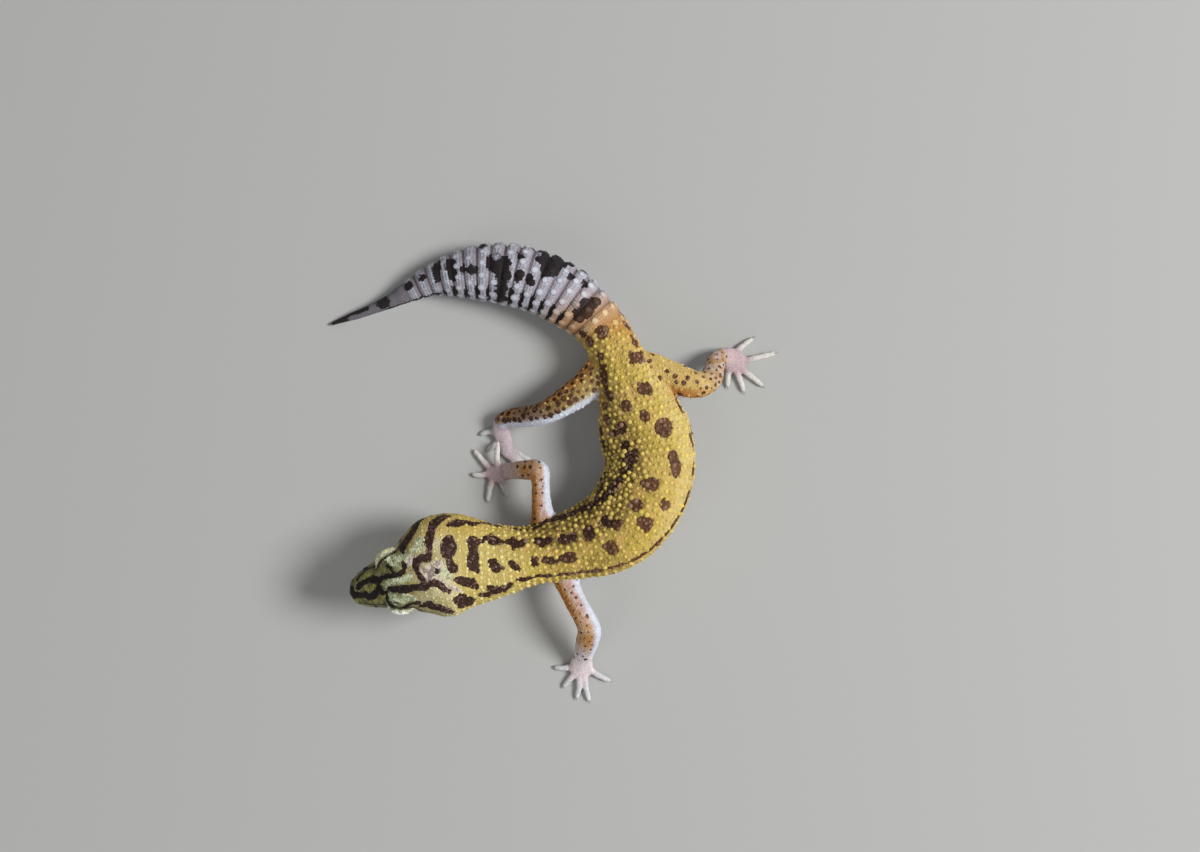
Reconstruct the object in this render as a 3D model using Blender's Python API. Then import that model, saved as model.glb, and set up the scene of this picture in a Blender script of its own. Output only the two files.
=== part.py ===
"""Leopard gecko, life size, standing curled in a C with its tail laid round behind it.

Lengths are in millimetres up to make_object, which makes the metres that Blender holds. The floor
is z = 0, the head looks along -Y and the animal's left side is +X. "Along" is the distance from the
tip of the snout down the middle of the back.
"""
import math

import bmesh
import bpy
import numpy as np
from mathutils import Vector

MM = 0.001
GAP = 0.3                 # clearance between two parts that touch
ORIGIN = (1.0, 0.2)       # middle of the whole animal's box, moved to x = y = 0

# Landmarks along the back
JAW_END = 18.5
HEAD_END = 27.0
NECK_END = 42.0
CHEST_END = 62.0
RIBS_END = 83.0
VENT = 108.0
TAIL_FAT_END = 131.0
TAIL_THIN = 153.0
TAIL_TIP = 181.0

# Line of the back seen from above: x, y
SPINE = (
    (26.5, -45.3),        # snout
    (23.0, -33.4),        # eyes
    (19.8, -22.5),        # back of the skull
    (19.4, -13.0),        # neck
    (17.2, -0.5),         # shoulders
    (10.6, 16.0),         # ribs
    (-1.0, 21.8),
    (-12.6, 19.7),        # loin
    (-22.4, 16.0),        # hips
    (-32.4, 11.4),        # root of the tail
    (-42.8, -1.2),
    (-46.0, -14.0),       # fat of the tail
    (-45.0, -26.0),
    (-38.4, -41.0),
    (-34.4, -52.2),       # tip of the tail
)

# Cross-sections: along, half width, underside z, widest z, back z, squareness over and under
SECTIONS = (
    (0.0, 0.5, 14.3, 15.0, 15.7, 2.0, 2.0),
    (0.5, 1.9, 13.3, 14.8, 16.8, 2.1, 2.1),
    (2.0, 3.4, 12.5, 14.6, 17.9, 2.2, 2.2),
    (5.0, 4.9, 11.8, 14.4, 19.4, 2.2, 2.3),
    (8.5, 6.2, 11.3, 14.5, 21.5, 2.4, 2.3),
    (12.0, 7.4, 10.9, 14.8, 23.2, 2.6, 2.3),
    (16.0, 9.4, 10.5, 15.2, 23.7, 2.6, 2.4),
    (20.5, 11.3, 10.1, 15.4, 23.4, 2.5, 2.4),
    (24.5, 11.4, 9.6, 15.0, 22.5, 2.3, 2.3),
    (29.0, 10.0, 8.6, 13.9, 20.9, 2.2, 2.2),
    (35.0, 8.2, 7.0, 12.2, 18.9, 2.1, 2.1),
    (42.0, 6.9, 5.0, 10.4, 17.0, 2.1, 2.1),
    (50.0, 7.9, 3.2, 8.8, 16.1, 2.1, 2.3),
    (58.0, 9.4, 1.9, 7.9, 16.1, 2.1, 2.4),
    (66.0, 10.2, 1.3, 7.6, 16.5, 2.1, 2.5),
    (78.0, 10.5, 1.0, 7.4, 16.7, 2.1, 2.5),
    (88.0, 10.4, 1.0, 7.2, 16.1, 2.1, 2.5),
    (95.0, 8.3, 1.3, 6.9, 14.9, 2.1, 2.4),
    (101.0, 6.9, 1.6, 6.5, 13.6, 2.1, 2.3),
    (108.0, 6.0, 1.2, 6.0, 12.4, 2.1, 2.2),
    (113.0, 5.9, 0.5, 5.7, 11.9, 2.1, 2.1),
    (121.0, 6.7, -0.2, 5.6, 12.2, 2.1, 2.1),
    (130.0, 7.0, -0.3, 5.6, 12.5, 2.1, 2.1),
    (141.0, 6.6, -0.3, 5.2, 11.5, 2.1, 2.1),
    (148.0, 5.4, -0.3, 4.4, 9.6, 2.1, 2.1),
    (154.0, 4.0, -0.3, 3.4, 7.4, 2.0, 2.0),
    (161.0, 2.6, -0.2, 2.4, 5.0, 2.0, 2.0),
    (170.0, 1.5, -0.1, 1.5, 3.1, 2.0, 2.0),
    (177.0, 0.95, -0.1, 0.9, 1.9, 2.0, 2.0),
    (181.0, 0.35, 0.1, 0.5, 0.9, 2.0, 2.0),
)
FATTEST_HALF = 7.0        # half width of the tail at its fattest
BODY_SIDES = 24
BODY_SPACING = 2.6
HEAD_SPACING = 1.6
TAIL_SIDES = 18

# Rings of the tail: they start behind the vent and shrink to nothing on the thin end
RING_START = 112.0
RING_END = 162.0
RING_LENGTH = 2.9
RING_DEPTH = 0.35

EYE_ALONG = 11.2
EYE_SIDE = 4.2
EYE_UP = 18.4
EYE_RADIUS = 3.0
BROW_HEIGHT = 1.2         # how far the brow and lids stand out round the eye
BROW_REACH = 4.2
EAR_ALONG = 23.0
EAR_UP = 16.2
MOUTH = ((-3.0, 14.5), (2.0, 14.1), (8.0, 13.5), (14.0, 13.4), (JAW_END, 14.3))  # along, z

# Limbs: points x, y, z with the half width and half height there. A limb starts inside the trunk
# and bends at the point that "elbow" counts to.
LIMBS = {
    "arm_right": dict(
        names=("upper_arm_right", "forearm_right"), elbow=4,
        path=((14.5, -1.6, 7.6, 2.9, 2.9), (10.0, -2.4, 8.4, 2.6, 2.6), (5.6, -2.9, 9.4, 2.3, 2.4),
              (2.0, -3.0, 9.9, 2.2, 2.3), (-0.7, -3.4, 9.4, 2.5, 2.4), (-0.9, -6.0, 7.6, 2.4, 2.1),
              (-0.8, -8.2, 5.6, 2.25, 1.8), (-0.6, -9.9, 4.2, 2.1, 1.5), (-0.4, -11.2, 3.2, 2.1, 1.3))),
    "arm_left": dict(
        names=("upper_arm_left", "forearm_left"), elbow=4,
        path=((18.5, 1.2, 7.4, 3.2, 3.0), (23.5, 2.6, 8.3, 2.9, 2.8), (28.6, 4.8, 9.6, 2.6, 2.5),
              (32.2, 6.8, 10.2, 2.6, 2.4), (34.9, 8.0, 9.7, 2.8, 2.3), (38.1, 7.6, 7.2, 2.8, 2.2),
              (40.6, 6.9, 5.0, 2.5, 1.8), (42.4, 6.5, 3.4, 2.4, 1.4))),
    "leg_right": dict(
        names=("thigh_right", "shank_right"), elbow=4,
        path=((-24.5, 12.5, 6.4, 3.9, 3.6), (-20.8, 8.6, 7.4, 3.8, 3.4), (-18.0, 4.8, 8.4, 3.5, 3.2),
              (-15.6, 1.2, 9.0, 3.1, 2.9), (-13.9, -2.2, 8.8, 2.8, 2.7), (-13.1, -5.4, 7.2, 2.6, 2.4),
              (-12.9, -8.5, 5.4, 2.4, 2.0), (-12.5, -11.1, 3.8, 2.1, 1.6), (-11.6, -12.7, 2.9, 1.9, 1.3))),
    "leg_left": dict(
        names=("thigh_left", "shank_left"), elbow=4,
        path=((-23.6, 17.6, 6.4, 4.0, 3.6), (-23.4, 21.8, 7.5, 4.0, 3.4), (-22.2, 25.8, 8.5, 3.9, 3.2),
              (-20.9, 29.6, 9.2, 3.6, 3.0), (-20.3, 33.2, 9.2, 3.1, 2.8), (-21.6, 35.6, 7.8, 2.8, 2.5),
              (-24.2, 36.6, 5.8, 2.5, 2.1), (-26.2, 37.4, 4.1, 2.2, 1.7), (-26.9, 38.5, 3.1, 2.1, 1.4))),
}
LIMB_SIDES = 11
LIMB_SPACING = 1.9
PALM_SIDES = 10
TOE_SIDES = 6

# Hands and feet: the palm's points as on a limb, and each toe from its knuckle to its tip
FEET = {
    "hand_right": dict(
        limb="arm_right",
        palm=((-0.35, -11.5, 2.6, 2.1, 1.2), (-0.1, -12.8, 1.6, 2.4, 1.4), (0.0, -14.2, 1.0, 2.3, 1.25),
              (0.1, -15.6, 0.8, 1.5, 0.9)),
        toes=(((-1.3, -13.2, 1.7), (-3.4, -13.3, 2.9), (-5.4, -13.2, 3.1), (-7.4, -13.1, 2.95)),
              ((-0.9, -14.8, 0.9), (-2.8, -16.6, 0.8), (-5.3, -18.8, 0.5)),
              ((0.1, -15.2, 0.9), (0.5, -17.2, 0.8), (0.3, -19.3, 0.5)),
              ((1.0, -14.4, 0.9), (3.4, -15.0, 0.8), (6.6, -15.6, 0.5)),
              ((1.2, -12.7, 1.0), (2.9, -12.0, 0.8), (5.3, -11.1, 0.5)))),
    "hand_left": dict(
        limb="arm_left",
        palm=((42.7, 6.4, 3.0, 2.4, 1.3), (44.2, 6.2, 1.7, 2.8, 1.5), (45.8, 6.1, 1.05, 2.8, 1.3),
              (47.3, 6.1, 0.8, 1.8, 0.9)),
        toes=(((44.6, 4.4, 0.9), (45.2, 2.2, 0.8), (45.0, -0.2, 0.5)),
              ((46.2, 4.9, 0.9), (47.6, 3.6, 0.8), (49.7, 1.9, 0.5)),
              ((46.8, 5.8, 0.9), (49.6, 5.6, 0.8), (52.4, 5.0, 0.5)),
              ((46.8, 6.8, 0.9), (49.8, 7.2, 0.8), (53.0, 8.0, 0.5)),
              ((45.4, 8.0, 0.9), (46.9, 10.2, 0.8), (48.3, 12.9, 0.5)))),
    "foot_right": dict(
        limb="leg_right",
        palm=((-11.2, -12.8, 2.6, 1.9, 1.25), (-9.7, -12.4, 1.6, 2.2, 1.3), (-7.4, -11.7, 0.95, 2.0, 1.1),
              (-5.0, -11.1, 0.8, 1.7, 0.95), (-3.6, -10.6, 0.7, 1.1, 0.8)),
        toes=(((-9.2, -13.2, 0.9), (-9.6, -15.2, 0.8), (-8.9, -17.4, 0.5)),
              ((-5.6, -10.1, 0.8), (-4.2, -8.0, 0.7), (-3.0, -5.6, 0.5)),
              ((-4.6, -10.3, 0.8), (-2.6, -8.3, 0.7), (-0.6, -6.0, 0.5)),
              ((-4.2, -10.6, 0.8), (-1.9, -9.2, 0.7), (0.8, -8.0, 0.5)),
              ((-7.4, -12.6, 0.8), (-6.2, -14.4, 0.7), (-5.0, -15.7, 0.5)))),
    "foot_left": dict(
        limb="leg_left",
        palm=((-27.0, 38.9, 3.0, 2.1, 1.35), (-26.6, 40.2, 1.7, 2.7, 1.5), (-25.8, 41.9, 1.05, 2.9, 1.3),
              (-25.0, 43.6, 0.8, 2.1, 0.95)),
        toes=(((-27.4, 41.4, 0.9), (-29.4, 43.4, 0.8), (-31.3, 46.0, 0.5)),
              ((-25.8, 43.2, 0.9), (-26.8, 47.0, 0.8), (-27.8, 51.2, 0.5)),
              ((-24.4, 43.0, 0.9), (-22.3, 45.6, 0.8), (-20.1, 48.3, 0.5)),
              ((-23.9, 41.8, 0.9), (-21.6, 42.9, 0.8), (-18.8, 43.8, 0.5)),
              ((-24.3, 40.3, 0.9), (-22.2, 40.1, 0.8), (-19.9, 40.0, 0.5)))),
}
TOE_ROOT = 0.75           # toe radius at the knuckle and at the tip
TOE_END = 0.55
TOE_GROWTH = 0.02         # each toe is this much thicker than the one before it
CLAW_LENGTH = 1.0
CLAW_RADIUS = 0.32

# Finish of each kind of part: colour, roughness
FINISHES = {
    "head_skin": ((0.62, 0.50, 0.16), 0.6),
    "back_skin": ((0.58, 0.43, 0.06), 0.6),
    "tail_skin": ((0.55, 0.50, 0.56), 0.6),
    "limb_skin": ((0.62, 0.40, 0.18), 0.6),
    "foot_skin": ((0.72, 0.55, 0.52), 0.6),
    "eye_gloss": ((0.30, 0.27, 0.20), 0.1),
    "eardrum": ((0.25, 0.17, 0.13), 0.5),
    "claw_horn": ((0.75, 0.68, 0.58), 0.4),
}


def smooth_through(knots, values, at):
    """Values on a smooth curve through the given ones, with slopes from the neighbours."""
    knots = np.asarray(knots, float)
    values = np.asarray(values, float)
    slopes = np.gradient(values, knots, axis=0)
    at = np.clip(np.atleast_1d(at), knots[0], knots[-1])
    i = np.clip(np.searchsorted(knots, at) - 1, 0, len(knots) - 2)
    step = (knots[i + 1] - knots[i])[:, None]
    t = (at - knots[i])[:, None] / step
    t2, t3 = t * t, t * t * t
    return ((2 * t3 - 3 * t2 + 1) * values[i] + (t3 - 2 * t2 + t) * step * slopes[i]
            + (3 * t2 - 2 * t3) * values[i + 1] + (t3 - t2) * step * slopes[i + 1])


def arc_lengths(points):
    """Distance along a chain of points, from its start."""
    legs = np.linalg.norm(np.diff(points, axis=0), axis=1)
    return np.concatenate(([0.0], np.cumsum(legs)))


SPINE_XY = smooth_through(arc_lengths(np.array(SPINE)), SPINE,
                          np.linspace(0.0, arc_lengths(np.array(SPINE))[-1], 400))
SPINE_ALONG = arc_lengths(SPINE_XY) * TAIL_TIP / arc_lengths(SPINE_XY)[-1]


def spine_frame(along):
    """Middle of the back from above, and the direction to the animal's left there."""
    def middle(distance):
        return np.array([np.interp(distance, SPINE_ALONG, SPINE_XY[:, k]) for k in (0, 1)])
    back = middle(min(along + 1.0, TAIL_TIP)) - middle(max(along - 1.0, 0.0))
    back /= np.linalg.norm(back)
    return middle(along), np.array((back[1], -back[0]))


def ring_wave(along):
    """1 on the ridge of each tail ring, 0 in the grooves between them."""
    return 0.5 - 0.5 * math.cos(2.0 * math.pi * (along - RING_START) / RING_LENGTH)


def body_ring(along, sides, grow=0.0):
    """Points round the body at one place, from its left side over the back."""
    half, under, wide, back, square_over, square_under = smooth_through(
        [row[0] for row in SECTIONS], [row[1:] for row in SECTIONS], along)[0]
    if RING_START < along < RING_END:
        dent = RING_DEPTH * half / FATTEST_HALF * (1.0 - ring_wave(along))
        half, back = half - dent, back - dent
    middle, left = spine_frame(along)
    points = []
    for k in range(sides):
        turn = 2.0 * math.pi * (k + 0.5) / sides
        square = square_over if math.sin(turn) > 0.0 else square_under
        side = math.copysign(abs(math.cos(turn)) ** (2.0 / square), math.cos(turn)) * (half + grow)
        rise = (back - wide if math.sin(turn) > 0.0 else wide - under) + grow
        up = wide + math.copysign(abs(math.sin(turn)) ** (2.0 / square), math.sin(turn)) * rise
        reach = math.dist((along, up), (EYE_ALONG, EYE_UP)) / BROW_REACH
        bulge = BROW_HEIGHT * max(0.0, 1.0 - reach * reach) ** 2
        side += math.copysign(bulge, side)
        x, y = middle + left * side
        points.append((x, y, max(up, -grow)))     # flat where it lies on the floor
    return points


def loft(rings):
    """Closed mesh through rings of points, with a flat face at each end."""
    mesh = bmesh.new()
    rows = [[mesh.verts.new(point) for point in ring] for ring in rings]
    count = len(rows[0])
    for near, far in zip(rows, rows[1:]):
        for k in range(count):
            mesh.faces.new((near[k], near[(k + 1) % count], far[(k + 1) % count], far[k]))
    mesh.faces.new(rows[0])
    mesh.faces.new(reversed(rows[-1]))
    bmesh.ops.recalc_face_normals(mesh, faces=mesh.faces)
    return mesh


def chain_directions(points):
    """Direction of a chain at each of its points."""
    return np.gradient(np.asarray(points, float), axis=0)


def tube_rings(points, directions, radii, sides):
    """Rings square to the given directions; radii are half width and half height."""
    rings = []
    for i, middle in enumerate(points):
        ahead = Vector(directions[i]).normalized()
        side = Vector((0.0, 0.0, 1.0)).cross(ahead).normalized()
        over = ahead.cross(side)
        wide, high = radii[i]
        turns = [2.0 * math.pi * (k + 0.5) / sides for k in range(sides)]
        rings.append([Vector(middle) + side * wide * math.cos(a) + over * high * math.sin(a)
                      for a in turns])
    return rings


def make_material(name):
    colour, roughness = FINISHES[name]
    material = bpy.data.materials.new(name)
    material.use_nodes = True
    shader = material.node_tree.nodes["Principled BSDF"]
    shader.inputs["Base Color"].default_value = (*colour, 1.0)
    shader.inputs["Roughness"].default_value = roughness
    shader.inputs["Metallic"].default_value = 0.0
    material.diffuse_color = (*colour, 1.0)
    return material


def make_object(name, shape, finish=None):
    """Object from a mesh in millimetres, moved so that the animal stands over the origin."""
    bmesh.ops.translate(shape, verts=shape.verts, vec=(-ORIGIN[0], -ORIGIN[1], 0.0))
    bmesh.ops.scale(shape, verts=shape.verts, vec=(MM, MM, MM))
    mesh = bpy.data.meshes.new(name)
    shape.to_mesh(mesh)
    shape.free()
    mesh.shade_smooth()
    if finish:
        mesh.materials.append(MATERIALS[finish])
    part = bpy.data.objects.new(name, mesh)
    bpy.context.scene.collection.objects.link(part)
    return part


def combine(part, tool, operation):
    """Cut, join or keep the common shape of two objects, and drop the second one."""
    modifier = part.modifiers.new(operation.title(), "BOOLEAN")
    modifier.operation = operation
    modifier.solver = "EXACT"
    modifier.object = tool
    depsgraph = bpy.context.evaluated_depsgraph_get()
    result = bpy.data.meshes.new_from_object(part.evaluated_get(depsgraph))
    part.modifiers.clear()
    used = part.data
    part.data = result
    bpy.data.meshes.remove(used)
    bpy.data.objects.remove(tool)


def body_length(start, end, spacing, sides, grow=0.0):
    """Length of the body between two places along it."""
    steps = max(2, round((end - start) / spacing))
    places = [start + (end - start) * i / steps for i in range(steps + 1)]
    return loft([body_ring(place, sides, grow) for place in places])


def tail_length(start, end):
    """Length of the tail, with a ring of points on each ridge and in each groove."""
    half_ring = RING_LENGTH / 2.0
    first = math.ceil((start - RING_START) / half_ring + 0.3)
    places = [start]
    place = RING_START + first * half_ring
    while place < min(end, RING_END) - 0.3 * half_ring:
        places.append(place)
        place += half_ring
    while place < end - 1.0:
        places.append(place)
        place += 2.5
    places.append(end)
    return loft([body_ring(place, TAIL_SIDES) for place in places])


def ellipsoid(middle, radii, segments, rings):
    shape = bmesh.new()
    bmesh.ops.create_uvsphere(shape, u_segments=segments, v_segments=rings, radius=1.0)
    bmesh.ops.scale(shape, verts=shape.verts, vec=radii)
    bmesh.ops.translate(shape, verts=shape.verts, vec=middle)
    return shape


def on_body(along, side, up):
    """Point beside the spine: side is positive on the animal's left."""
    middle, left = spine_frame(along)
    x, y = middle + left * side
    return Vector((x, y, up))


def jaw_block(drop):
    """Everything under the mouth line and ahead of the jaw's corner, lowered by drop."""
    line = [(along, up - drop) for along, up in MOUTH]
    line[-1] = (JAW_END - drop, line[-1][1])
    outline = line + [(JAW_END - drop, 2.0), (-3.0, 2.0)]
    return loft([[on_body(0.0, side, 0.0) + snout_axis() * along + Vector((0.0, 0.0, up))
                  for along, up in outline] for side in (14.0, -14.0)])


def snout_axis():
    """Level direction from the snout back along the skull."""
    start, _ = spine_frame(0.0)
    end, _ = spine_frame(JAW_END)
    return Vector((*(end - start), 0.0)).normalized()


def build_head():
    head = make_object("head", body_length(0.0, HEAD_END - GAP / 2, HEAD_SPACING, BODY_SIDES), "head_skin")
    jaw = make_object("lower_jaw", body_length(0.0, HEAD_END - GAP / 2, HEAD_SPACING, BODY_SIDES), "head_skin")
    combine(head, make_object("mouth_cut", jaw_block(0.0)), "DIFFERENCE")
    combine(jaw, make_object("jaw_space", jaw_block(GAP)), "INTERSECT")
    for side, name in ((1.0, "left"), (-1.0, "right")):
        eye = on_body(EYE_ALONG, side * EYE_SIDE, EYE_UP)
        socket = ellipsoid(eye, [EYE_RADIUS + GAP] * 3, 16, 10)
        combine(head, make_object("socket", socket), "DIFFERENCE")
        make_object(f"eye_{name}", ellipsoid(eye, [EYE_RADIUS] * 3, 14, 8), "eye_gloss")
        half = smooth_through([row[0] for row in SECTIONS], [row[1:2] for row in SECTIONS], EAR_ALONG)
        ear = on_body(EAR_ALONG, side * float(half[0][0]), EAR_UP)
        pit = ellipsoid(ear, (1.5, 1.1, 1.7), 10, 6)
        combine(head, make_object("ear_pit", pit), "DIFFERENCE")
        drum = on_body(EAR_ALONG, side * (float(half[0][0]) - 0.45), EAR_UP)
        make_object(f"ear_{name}", ellipsoid(drum, (0.7, 0.7, 1.1), 8, 5), "eardrum")


def build_trunk_and_tail():
    lengths = (("neck", HEAD_END, NECK_END, "head_skin"), ("trunk_front", NECK_END, CHEST_END, "back_skin"),
               ("trunk_middle", CHEST_END, RIBS_END, "back_skin"), ("trunk_rear", RIBS_END, VENT, "back_skin"))
    for name, start, end, finish in lengths:
        make_object(name, body_length(start + GAP / 2, end - GAP / 2, BODY_SPACING, BODY_SIDES), finish)
    for name, start, end in (("tail_root", VENT, TAIL_FAT_END), ("tail_middle", TAIL_FAT_END, TAIL_THIN),
                             ("tail_end", TAIL_THIN, TAIL_TIP + GAP / 2)):
        make_object(name, tail_length(start + GAP / 2, end - GAP / 2), "tail_skin")


def limb_length(path, start, end, grow=0.0):
    """Length of a limb between two distances along its path."""
    path = np.array(path)
    knots = arc_lengths(path[:, :3])
    places = np.linspace(start, end, round((end - start) / LIMB_SPACING) + 1)
    rows = smooth_through(knots, path, places)
    directions = (smooth_through(knots, path[:, :3], places + 0.2)
                  - smooth_through(knots, path[:, :3], places - 0.2))
    if grow:
        past = rows[-1].copy()
        past[:3] += grow * directions[-1] / np.linalg.norm(directions[-1])
        rows = np.vstack((rows, past))
        directions = np.vstack((directions, directions[-1]))
    return loft(tube_rings(rows[:, :3], directions, rows[:, 3:] + grow, LIMB_SIDES))


def lower_limb(path, elbow, grow=0.0):
    """Forearm or shank, from just past the elbow or knee to the wrist or ankle."""
    knots = arc_lengths(np.array(path)[:, :3])
    return limb_length(path, knots[elbow] + GAP / 2, knots[-1], grow)


def build_limb(names, path, elbow):
    """Upper and lower length of a limb; the upper one ends in a joint against the trunk."""
    knots = arc_lengths(np.array(path)[:, :3])
    upper = make_object(names[0], limb_length(path, 0.0, knots[elbow] - GAP / 2), "limb_skin")
    near = (NECK_END, CHEST_END) if "arm" in names[0] else (RIBS_END, VENT + 6.0)
    space = body_length(near[0] - 4.0, near[1] + 2.0, BODY_SPACING, BODY_SIDES, GAP)
    combine(upper, make_object("trunk_space", space), "DIFFERENCE")
    lower = make_object(names[1], lower_limb(path, elbow), "limb_skin")
    joint = limb_length(path, 0.0, knots[elbow] - GAP / 2, GAP)
    combine(lower, make_object("joint", joint), "DIFFERENCE")


def build_foot(name, limb, palm, toes):
    """Hand or foot: a palm joined to its toes and cut flat at the floor, with a claw on each toe."""
    palm = np.array(palm)
    knots = arc_lengths(palm[:, :3])
    rows = smooth_through(knots, palm, np.linspace(0.0, knots[-1], 5))
    rings = tube_rings(rows[:, :3], chain_directions(rows[:, :3]), rows[:, 3:], PALM_SIDES)
    foot = make_object(name, loft(rings), "foot_skin")
    for number, points in enumerate(toes, 1):
        points = np.array(points)
        knots = arc_lengths(points)
        rows = smooth_through(knots, points, np.linspace(0.0, knots[-1], 4))
        girth = 1.0 + TOE_GROWTH * number
        taper = np.linspace(TOE_ROOT, TOE_END, 4)[:, None] * girth * np.ones(2)
        ahead = (rows[-1] - rows[-2]) / np.linalg.norm(rows[-1] - rows[-2])
        rows = np.vstack((rows, rows[-1] + ahead * 0.3))
        taper = np.vstack((taper, taper[-1] * 0.6))
        toe = loft(tube_rings(rows, chain_directions(rows), taper, TOE_SIDES))
        combine(foot, make_object("toe", toe), "UNION")
        build_claw(f"claw_{name}_{number}", rows[-1], ahead)
    floor = bmesh.new()
    bmesh.ops.create_cube(floor, size=200.0)
    bmesh.ops.translate(floor, verts=floor.verts, vec=(0.0, 0.0, -100.0))
    combine(foot, make_object("floor", floor), "DIFFERENCE")
    joint = lower_limb(LIMBS[limb]["path"], LIMBS[limb]["elbow"], GAP)
    combine(foot, make_object("joint", joint), "DIFFERENCE")


def build_claw(name, toe_end, ahead):
    """Small hooked claw, just ahead of the end of its toe and clear of the floor."""
    level = np.array((ahead[0], ahead[1], 0.0))
    level /= np.linalg.norm(level)
    start = toe_end + ahead * GAP + np.array((0.0, 0.0, 0.1))
    points = [start + level * CLAW_LENGTH * t + np.array((0.0, 0.0, 0.12 * math.sin(math.pi * t) - 0.15 * t))
              for t in (0.0, 0.5, 1.0)]
    radii = [(CLAW_RADIUS * size, CLAW_RADIUS * size) for size in (1.0, 0.85, 0.25)]
    make_object(name, loft(tube_rings(points, chain_directions(points), radii, 5)), "claw_horn")


for old in list(bpy.data.objects):
    bpy.data.objects.remove(old, do_unlink=True)
MATERIALS = {name: make_material(name) for name in FINISHES}

build_head()
build_trunk_and_tail()
for limb in LIMBS.values():
    build_limb(**limb)
for foot_name, shape in FEET.items():
    build_foot(foot_name, **shape)
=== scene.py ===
import math

import bmesh
import bpy
import numpy as np
from mathutils import Matrix, Vector, noise
from mathutils.bvhtree import BVHTree
from mathutils.kdtree import KDTree


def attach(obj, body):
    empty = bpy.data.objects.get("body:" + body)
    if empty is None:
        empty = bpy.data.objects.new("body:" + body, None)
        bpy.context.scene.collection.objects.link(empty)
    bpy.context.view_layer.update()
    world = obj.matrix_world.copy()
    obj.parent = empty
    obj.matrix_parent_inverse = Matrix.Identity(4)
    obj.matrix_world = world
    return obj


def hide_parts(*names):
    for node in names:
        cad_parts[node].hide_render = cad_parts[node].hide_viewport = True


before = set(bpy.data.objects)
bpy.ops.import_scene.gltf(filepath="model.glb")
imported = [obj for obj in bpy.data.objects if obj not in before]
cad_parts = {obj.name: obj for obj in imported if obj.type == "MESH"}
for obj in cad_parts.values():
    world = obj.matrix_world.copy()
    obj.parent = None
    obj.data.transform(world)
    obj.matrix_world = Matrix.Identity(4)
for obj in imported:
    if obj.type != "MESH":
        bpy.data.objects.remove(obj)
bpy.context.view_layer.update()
mm = 0.001     # tables are in millimetres, meshes in metres

# The body: a line down the back seen from above, and cross-sections along it.
# "along" is the distance from the snout down the back, "girth" the distance round from the middle
# of the back (left side positive), "around" the same as a share: 0 on the back, 1 or -1 under the belly.
body = {
    "origin": (1.0, 0.2),
    "spine": ((26.5, -45.3), (23.0, -33.4), (19.8, -22.5), (19.4, -13.0), (17.2, -0.5), (10.6, 16.0),
              (-1.0, 21.8), (-12.6, 19.7), (-22.4, 16.0), (-32.4, 11.4), (-42.8, -1.2), (-46.0, -14.0),
              (-45.0, -26.0), (-38.4, -41.0), (-34.4, -52.2)),
    "length": 181.0,
    "headEnd": 30.0,
    "tailStart": 110.0,
    # along, half width, underside z, widest z, back z, squareness over and under
    "sections": (
        (0.0, 0.5, 14.3, 15.0, 15.7, 2.0, 2.0), (0.5, 1.9, 13.3, 14.8, 16.8, 2.1, 2.1),
        (2.0, 3.4, 12.5, 14.6, 17.9, 2.2, 2.2), (5.0, 4.9, 11.8, 14.4, 19.4, 2.2, 2.3),
        (8.5, 6.2, 11.3, 14.5, 21.5, 2.4, 2.3), (12.0, 7.4, 10.9, 14.8, 23.2, 2.6, 2.3),
        (16.0, 9.4, 10.5, 15.2, 23.7, 2.6, 2.4), (20.5, 11.3, 10.1, 15.4, 23.4, 2.5, 2.4),
        (24.5, 11.4, 9.6, 15.0, 22.5, 2.3, 2.3), (29.0, 10.0, 8.6, 13.9, 20.9, 2.2, 2.2),
        (35.0, 8.2, 7.0, 12.2, 18.9, 2.1, 2.1), (42.0, 6.9, 5.0, 10.4, 17.0, 2.1, 2.1),
        (50.0, 7.9, 3.2, 8.8, 16.1, 2.1, 2.3), (58.0, 9.4, 1.9, 7.9, 16.1, 2.1, 2.4),
        (66.0, 10.2, 1.3, 7.6, 16.5, 2.1, 2.5), (78.0, 10.5, 1.0, 7.4, 16.7, 2.1, 2.5),
        (88.0, 10.4, 1.0, 7.2, 16.1, 2.1, 2.5), (95.0, 8.3, 1.3, 6.9, 14.9, 2.1, 2.4),
        (101.0, 6.9, 1.6, 6.5, 13.6, 2.1, 2.3), (108.0, 6.0, 1.2, 6.0, 12.4, 2.1, 2.2),
        (113.0, 5.9, 0.5, 5.7, 11.9, 2.1, 2.1), (121.0, 6.7, -0.2, 5.6, 12.2, 2.1, 2.1),
        (130.0, 7.0, -0.3, 5.6, 12.5, 2.1, 2.1), (141.0, 6.6, -0.3, 5.2, 11.5, 2.1, 2.1),
        (148.0, 5.4, -0.3, 4.4, 9.6, 2.1, 2.1), (154.0, 4.0, -0.3, 3.4, 7.4, 2.0, 2.0),
        (161.0, 2.6, -0.2, 2.4, 5.0, 2.0, 2.0), (170.0, 1.5, -0.1, 1.5, 3.1, 2.0, 2.0),
        (177.0, 0.95, -0.1, 0.9, 1.9, 2.0, 2.0), (181.0, 0.35, 0.1, 0.5, 0.9, 2.0, 2.0)),
    "coatDepth": 0.3,      # the skin lies this far inside the outline, under the scales
    "floorGap": 0.1,       # and this far over the floor where the belly and tail touch it
    "browHeight": 1.2,
    "browReach": 4.2,
}
eye = {
    "along": 11.2, "side": 4.5, "up": 18.4, "radius": 3.0,
    "forward": 0.34, "upward": 0.06,      # how far the gaze turns ahead and up from straight sideways
    "openingLong": 53.0, "openingOver": 29.0, "openingUnder": 40.0,   # half angles between the lids
    "corner": 5.0,      # how much further they part at the front and back corners
    "lidThick": 0.27, "lidOver": 0.3, "lidWide": 1.5,
    "noLid": 9.0,       # distance from the lids that the rest of the skin is given
}


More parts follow.
